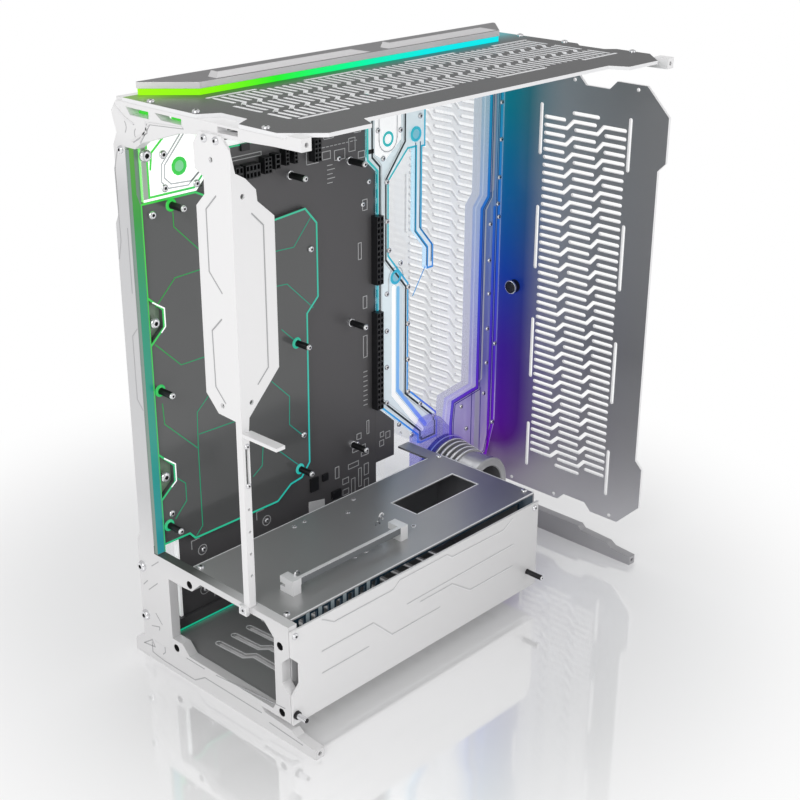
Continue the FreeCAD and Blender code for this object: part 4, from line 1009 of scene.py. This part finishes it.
# Painted shade and painted highlight: each engraved line of the side cover is drawn as a grey band with a
# bright band beside it.
faint_line = finish("faint_line", (0.64, 0.64, 0.65), 0.1, 0.45, edge=0)
bands("side_cover_shadow_lines", side_lines, 0.8, "y", -157.1, -156.9, faint_line)
bands("side_cover_light_lines", [[(u, v - 0.9) for u, v in path] for path in side_lines], 0.6,
      "y", -157.12, -156.9, cut_edge_and_highlight)
# Painted shade: dark rings deep in the counterbores of the rear frame.
turned("rear_sinks", [(0, -6, 6), (0, -144, 6), (0, -144, 70), (0, -30, 80)], "x",
       [(2.0, 7.4), (2.0, 5.6), (3.55, 5.2), (3.55, 0.3), (3.5, 0.3), (3.4, 6.0), (2.0, 7.4)],
       painted_recess_shade, sides=24)

# Riser rail and cable hooks
# The rail is milled with a block at each end and bolted on the top plate; its sides
# between the blocks are painted dark as painted shade and its top faces pale as painted light;
# thin wire hooks for cable ties stand beside it.
riser_metal = finish("riser_metal", (0.60, 0.62, 0.63), 0.2, 0.34, (420, (1, 1, 40), 0.2), 0.06, edge=0.0006)
riser_low, riser_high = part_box("riser_rail")
half_rail, block_l = (riser_high.x - riser_low.x) / 2, 0.0094
# Painted light and shade: the end blocks are pale all over; elsewhere faces that look up are painted pale and
# the sides dark.
tree, inputs = opened(riser_metal)
off = calc(tree, "ABSOLUTE", calc(tree, "SUBTRACT", where(tree)["X"], (riser_low.x + riser_high.x) / 2))
pale = calc(tree, "MAXIMUM", calc(tree, "GREATER_THAN", off, half_rail - block_l),
            calc(tree, "GREATER_THAN", facing(tree)["Z"], 0.9))
tree.links.new(mix(tree, pale, (0.16, 0.17, 0.18), (0.80, 0.80, 0.81)), inputs["Base Color"])
wear(riser_metal, "riser_rail")


def cords(name, paths, radius, material):
    """Round cords along paths given in design millimetres."""
    made = bpy.data.curves.new(name, "CURVE")
    made.dimensions = "3D"
    made.bevel_depth = radius / 1000
    made.bevel_resolution = 2
    made.use_fill_caps = True
    for path in paths:
        line = made.splines.new("POLY")
        line.points.add(len(path) - 1)
        for point, p in zip(line.points, path):
            point.co = (*spot(*p), 1)
    return own(name, evaluated(name, placed(name, made)), material)


hooks = [[(x + 2.6 * math.cos(math.pi * k / 10), y, z + 2.8 * math.sin(math.pi * k / 10)) for k in range(11)]
         for x, y, z in ((46, -116, 106), (154, -104, 106), (162, -100, 106), (168, -95, 106))]
cords("tie_hooks", hooks, 0.8, riser_metal)

# Posts and knob
# Turned posts for the side window and a knurled thumb knob.
rear_post = turned("rear_window_post", [(4.5, 0, 8)], "y",
                   [(0.4, -169), (2.2, -169), (2.5, -168.4), (2.5, -157), (0.4, -157), (0.4, -169)], steel,
                   sides=24)
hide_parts("glass_post_rear")
turned("rear_post_washer", [(4.5, 0, 8)], "y",
       [(2.4, -159.5), (3.6, -159.2), (3.8, -157), (2.4, -157), (2.4, -159.5)], black_steel,
       sides=24)
front_post = turned("front_window_post", [(tunnel_l - 18, 0, 17)], "y",
                    [(0.4, -175), (2.2, -175), (2.5, -174.4), (2.5, -148), (0.4, -148), (0.4, -175)],
                    black_steel, sides=24)
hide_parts("glass_post_front")
knob = turned("thumb_knob_turned", [(447, -16, 237)], "x",
              [(0.4, -9), (5.4, -9), (6.2, -8.2), (6.9, -8.2), (6.9, -1), (5, 0), (0.4, 0), (0.4, -9)],
              black_steel, sides=40)
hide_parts("thumb_knob")
turned("knob_rim", [(447, -16, 237)], "x", [(6.2, -8.6), (7.0, -8.4), (7.0, -6.8), (6.2, -6.8), (6.2, -8.6)],
       steel, sides=40)

# Screws
# Button-head screws with hexagon sockets: one head, set on every seat by a
# Geometry Nodes tree that reads each seat's direction and size.


def screw_head(sides=18):
    """Button head of radius 1 standing on its seat, with a hexagon socket."""
    held = bmesh.new()
    recess = held.faces.layers.bool.new("recess")
    turns = [2 * math.pi * k / sides for k in range(sides)]
    hexagon = [math.cos(math.pi / 6) / math.cos(turn % (math.pi / 3) - math.pi / 6) for turn in turns]
    rims = []
    for r, h, hexed in ((1.0, 0.0, 0), (1.0, 0.22, 0), (0.93, 0.42, 0), (0.75, 0.58, 0), (0.55, 0.64, 0),
                        (0.42, 0.64, 1), (0.42, 0.24, 1)):
        reach = [r * fit if hexed else r for fit in hexagon]
        rims.append([held.verts.new((far * math.cos(turn), far * math.sin(turn), h))
                     for far, turn in zip(reach, turns)])
    joined(held, rims)
    for face in list(held.faces)[-sides:]:
        face[recess] = True
    held.faces.new(rims[0])
    held.faces.new(rims[-1])[recess] = True
    mesh = meshed("screw_head", held)
    rounded(mesh, 40)
    return placed("screw_head", mesh)


def screw_tree():
    """The screw head on each point, turned and sized by what the point holds."""
    tree, entry, out = geometry_tree(
        "screw_rows", ("Head", "Object", None), ("Metal", "Material", None),
        ("Socket", "Material", None))
    way = first(tree, "GeometryNodeInputNamedAttribute", {"Name": "way"}, data_type="FLOAT_VECTOR")
    size = first(tree, "GeometryNodeInputNamedAttribute", {"Name": "size"}, data_type="FLOAT")
    turn = first(tree, "FunctionNodeAlignRotationToVector", {"Vector": way}, axis="Z")
    heads = copies(tree, entry["Geometry"], shape_of(tree, entry["Head"]), Rotation=turn, Scale=size)
    recess = first(tree, "GeometryNodeInputNamedAttribute", {"Name": "recess"}, data_type="BOOLEAN")
    tree.links.new(dressed_in(tree, dressed_in(tree, heads, entry["Metal"]), entry["Socket"], recess), out)
    return tree


screw_rows = screw_tree()
head = screw_head()
ways = {"-x": (-1, 0, 0), "-y": (0, -1, 0), "+z": (0, 0, 1)}


def screws(name, seats, metal, *replaced):
    """Screws on seats given as (x, y, z, direction, head radius) in design millimetres."""
    mesh = bpy.data.meshes.new(name + "_seats")
    mesh.from_pydata([spot(*seat[:3]) for seat in seats], [], [])
    mesh.attributes.new("way", "FLOAT_VECTOR", "POINT")
    mesh.attributes.new("size", "FLOAT", "POINT")
    for k, (_, _, _, towards, radius) in enumerate(seats):
        mesh.attributes["way"].data[k].vector = ways[towards]
        mesh.attributes["size"].data[k].value = radius / 1000
    carrier = placed(name + "_seats", mesh)
    made = grown(name, screw_rows, {"Head": head, "Metal": metal, "Socket": painted_recess_shade}, carrier)
    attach(made, "root")
    if replaced:
        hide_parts(*replaced)


top_spots = [(x, -168 + w, 488, "+z", 3.2) for x in (4.5, 442.5) for w in (25, 101, 154)]
screws("top_panel_button_heads", top_spots, steel, "top_panel_screws")
shelf_spots = [(x, y, 92, "+z", 3.0) for x in (13, tunnel_l - 5) for y in (-139.2, -30.5)]
screws("shelf_button_heads", shelf_spots, steel, "shelf_screws")
screws("cover_button_heads", [(x, -157, z, "-y", 3.0) for x, z in ((5, 83), (tunnel_l - 11, 83))], steel,
       "cover_screws")
frame_spots = [(0, 35.5, 73, "-x", 5.0), (0, 35.5, 23, "-x", 5.0), (0, 22, 447, "-x", 3.2)]
screws("frame_button_heads", frame_spots, steel, "frame_screws")
screws("bracket_button_heads", [(-2, y, 473, "-x", 3.2) for y in (-83, -96)], steel, "bracket_screws")
turned("clamp_bolt", [(-5, -105.5, 89)], "x", ring(1.3, 3.2, 0.1, -0.03), steel, sides=24)
turned("clamp_bolt_socket", [(-5, -105.5, 89)], "x", ring(0.1, 1.3, 0.1, -0.02), painted_recess_shade,
       sides=24)
screws("support_button_heads", [(2, -111, z, "-y", 2.4) for z in (202, 236)], steel, "support_screws")
plate_spots = [(x, channel_face, z, "-y", 2.8) for x, z in (
    (280, 418), (310, 414), (287, 391), (337, 423), (292, 368), (292, 330), (295, 301), (311, 285),
    (322, 258), (292, 258), (292, 220), (322, 220), (292, 182), (322, 182), (292, 144), (323, 147),
    (310, 115), (329, 97), (341, 128), (362, 108))]
plate_spots += [(x, strip_face, z, "-y", 2.6) for x, z in (
    (440, 423), (441, 386), (440, 348), (439, 321), (428, 302), (428, 264), (429, 228), (428, 190),
    (428, 152), (425, 118), (389, 114), (398, 86), (441, 307), (441, 170), (441, 80))]
plate_spots += [(x, reservoir_face, z, "-y", r) for x, z, r in (
    (13, 442, 5.4), (30, 440, 3.7), (30, 413, 3.4), (62, 411, 3.4), (66, 440, 3.2))]
plate_spots += [(x, cover_face, z, "-y", r) for x, z, r in (
    (20, 392, 3.6), (15, 302, 4.8), (191, 326, 3.2), (15, 162, 4.8), (20, 125, 3.2), (177, 148, 3.2))]
plate_spots += [(x, board_face, z, "-y", 2.6) for x, z in (
    (232, 400), (252, 236), (252, 112), (270, 372), (262, 352), (56, 32), (56, 73), (132, 73))]
screws("plate_button_heads", plate_spots, steel)
tip_spots = [(x, -0.6, z, "-y", 2.8) for x, _, z in standoff_spots]
screws("standoff_ends", tip_spots, finish("bright_end", (0.8, 0.8, 0.81), 0.6, 0.25, edge=0))
post_ends = [(4.5, -168.4, 8, "-y", 2.2), (tunnel_l - 18, -174.2, 17, "-y", 2.2)]
screws("rear_post_end", post_ends[:1], black_steel)
screws("front_post_end", post_ends[1:], steel)
tie_holes = [(193, -34, 92), (171, -49, 92), (131, -33, 92), (118, -34, 92), (130, -112, 92),
             (117, -112, 92), (193, -111, 92)]
turned("tie_hole_rims", tie_holes, "z", [(1.5, 0), (1.5, 0.5), (2.4, 0.5), (2.6, 0), (1.5, 0)], steel,
       sides=20)
bpy.data.objects.remove(head)

# Floor, lamps and camera
# Pale sweep with a faint mirror image that fades into white, soft lamps, and
# the camera at the photograph's place.
world = bpy.data.worlds.new("studio")
bpy.context.scene.world = world
world.use_nodes = True
tree = world.node_tree
ray = add(tree, "ShaderNodeLightPath").outputs
seen = calc(tree, "MAXIMUM", ray["Is Camera Ray"], ray["Is Transmission Ray"])
tree.nodes["Background"].inputs[0].default_value = (1, 1, 1, 1)
tree.links.new(rescaled(tree, seen, 0.0, 1.0, 0.54, 1.0), tree.nodes["Background"].inputs[1])

reach = 6.0
floor_mesh = bpy.data.meshes.new("floor")
floor_mesh.from_pydata([(-reach, -reach, 0), (reach, -reach, 0), (reach, reach, 0), (-reach, reach, 0)], [],
                       [(0, 1, 2, 3)])
floor = placed("floor", floor_mesh)
floor_finish = bpy.data.materials.new("floor")
floor_finish.use_nodes = True
tree = floor_finish.node_tree
tree.nodes.remove(tree.nodes["Principled BSDF"])
place = add(tree, "ShaderNodeTexCoord").outputs["Object"]
far = add(tree, "ShaderNodeVectorMath", {0: place}, operation="LENGTH").outputs["Value"]
fade = rescaled(tree, far, 0.24, 0.56, 0.15, 1.0, kind="SMOOTHSTEP")
matt = first(tree, "ShaderNodeBsdfDiffuse", {"Color": (0.95, 0.95, 0.96, 1)})
gloss = first(tree, "ShaderNodeBsdfGlossy", {"Color": (1, 1, 1, 1), "Roughness": 0.06})
mirror = first(tree, "ShaderNodeMixShader", {0: 0.40, 1: matt, 2: gloss})
white = first(tree, "ShaderNodeEmission", {"Color": (1, 1, 1, 1), "Strength": 1.0})
whole = first(tree, "ShaderNodeMixShader", {0: fade, 1: mirror, 2: white})
tree.links.new(whole, tree.nodes["Material Output"].inputs[0])
floor.data.materials.append(floor_finish)


def lamp(name, place, target, size, power):
    """Round soft lamp aimed at a place."""
    data = bpy.data.lights.new(name, "AREA")
    data.shape, data.size, data.energy = "DISK", size, power
    held = placed(name, data)
    held.location = place
    held.rotation_euler = (Vector(target) - Vector(place)).to_track_quat("-Z", "Y").to_euler()
    return held


lamp("rear_window", (-1.6, -0.8, 1.2), (0, 0, 0.25), 1.1, 13)
overhead = lamp("overhead", (0.3, 0.4, 1.9), (0, 0, 0.2), 1.5, 12)
overhead.visible_glossy = False
lamp("front_window", (0.7, -1.6, 0.9), (0, 0, 0.2), 1.2, 4)

azimuth, elevation, roll = math.radians(-46.7), math.radians(23.25), math.radians(0.256)
back = Vector((math.sin(azimuth) * math.cos(elevation), -math.cos(azimuth) * math.cos(elevation),
               math.sin(elevation)))
right = (-back).cross(Vector((0, 0, 1))).normalized()
up = right.cross(-back)
right, up = (math.cos(roll) * right + math.sin(roll) * up, math.cos(roll) * up - math.sin(roll) * right)
lens = bpy.data.cameras.new("camera")
lens.lens, lens.sensor_width = 63.9, 36.0
camera = placed("camera", lens)
camera.matrix_world = Matrix.Translation(spot(-640.8, -879.5, 703.2)) @ Matrix(
    (right, up, back)).transposed().to_4x4()
bpy.context.scene.camera = camera
bpy.context.scene.view_settings.view_transform = "Standard"
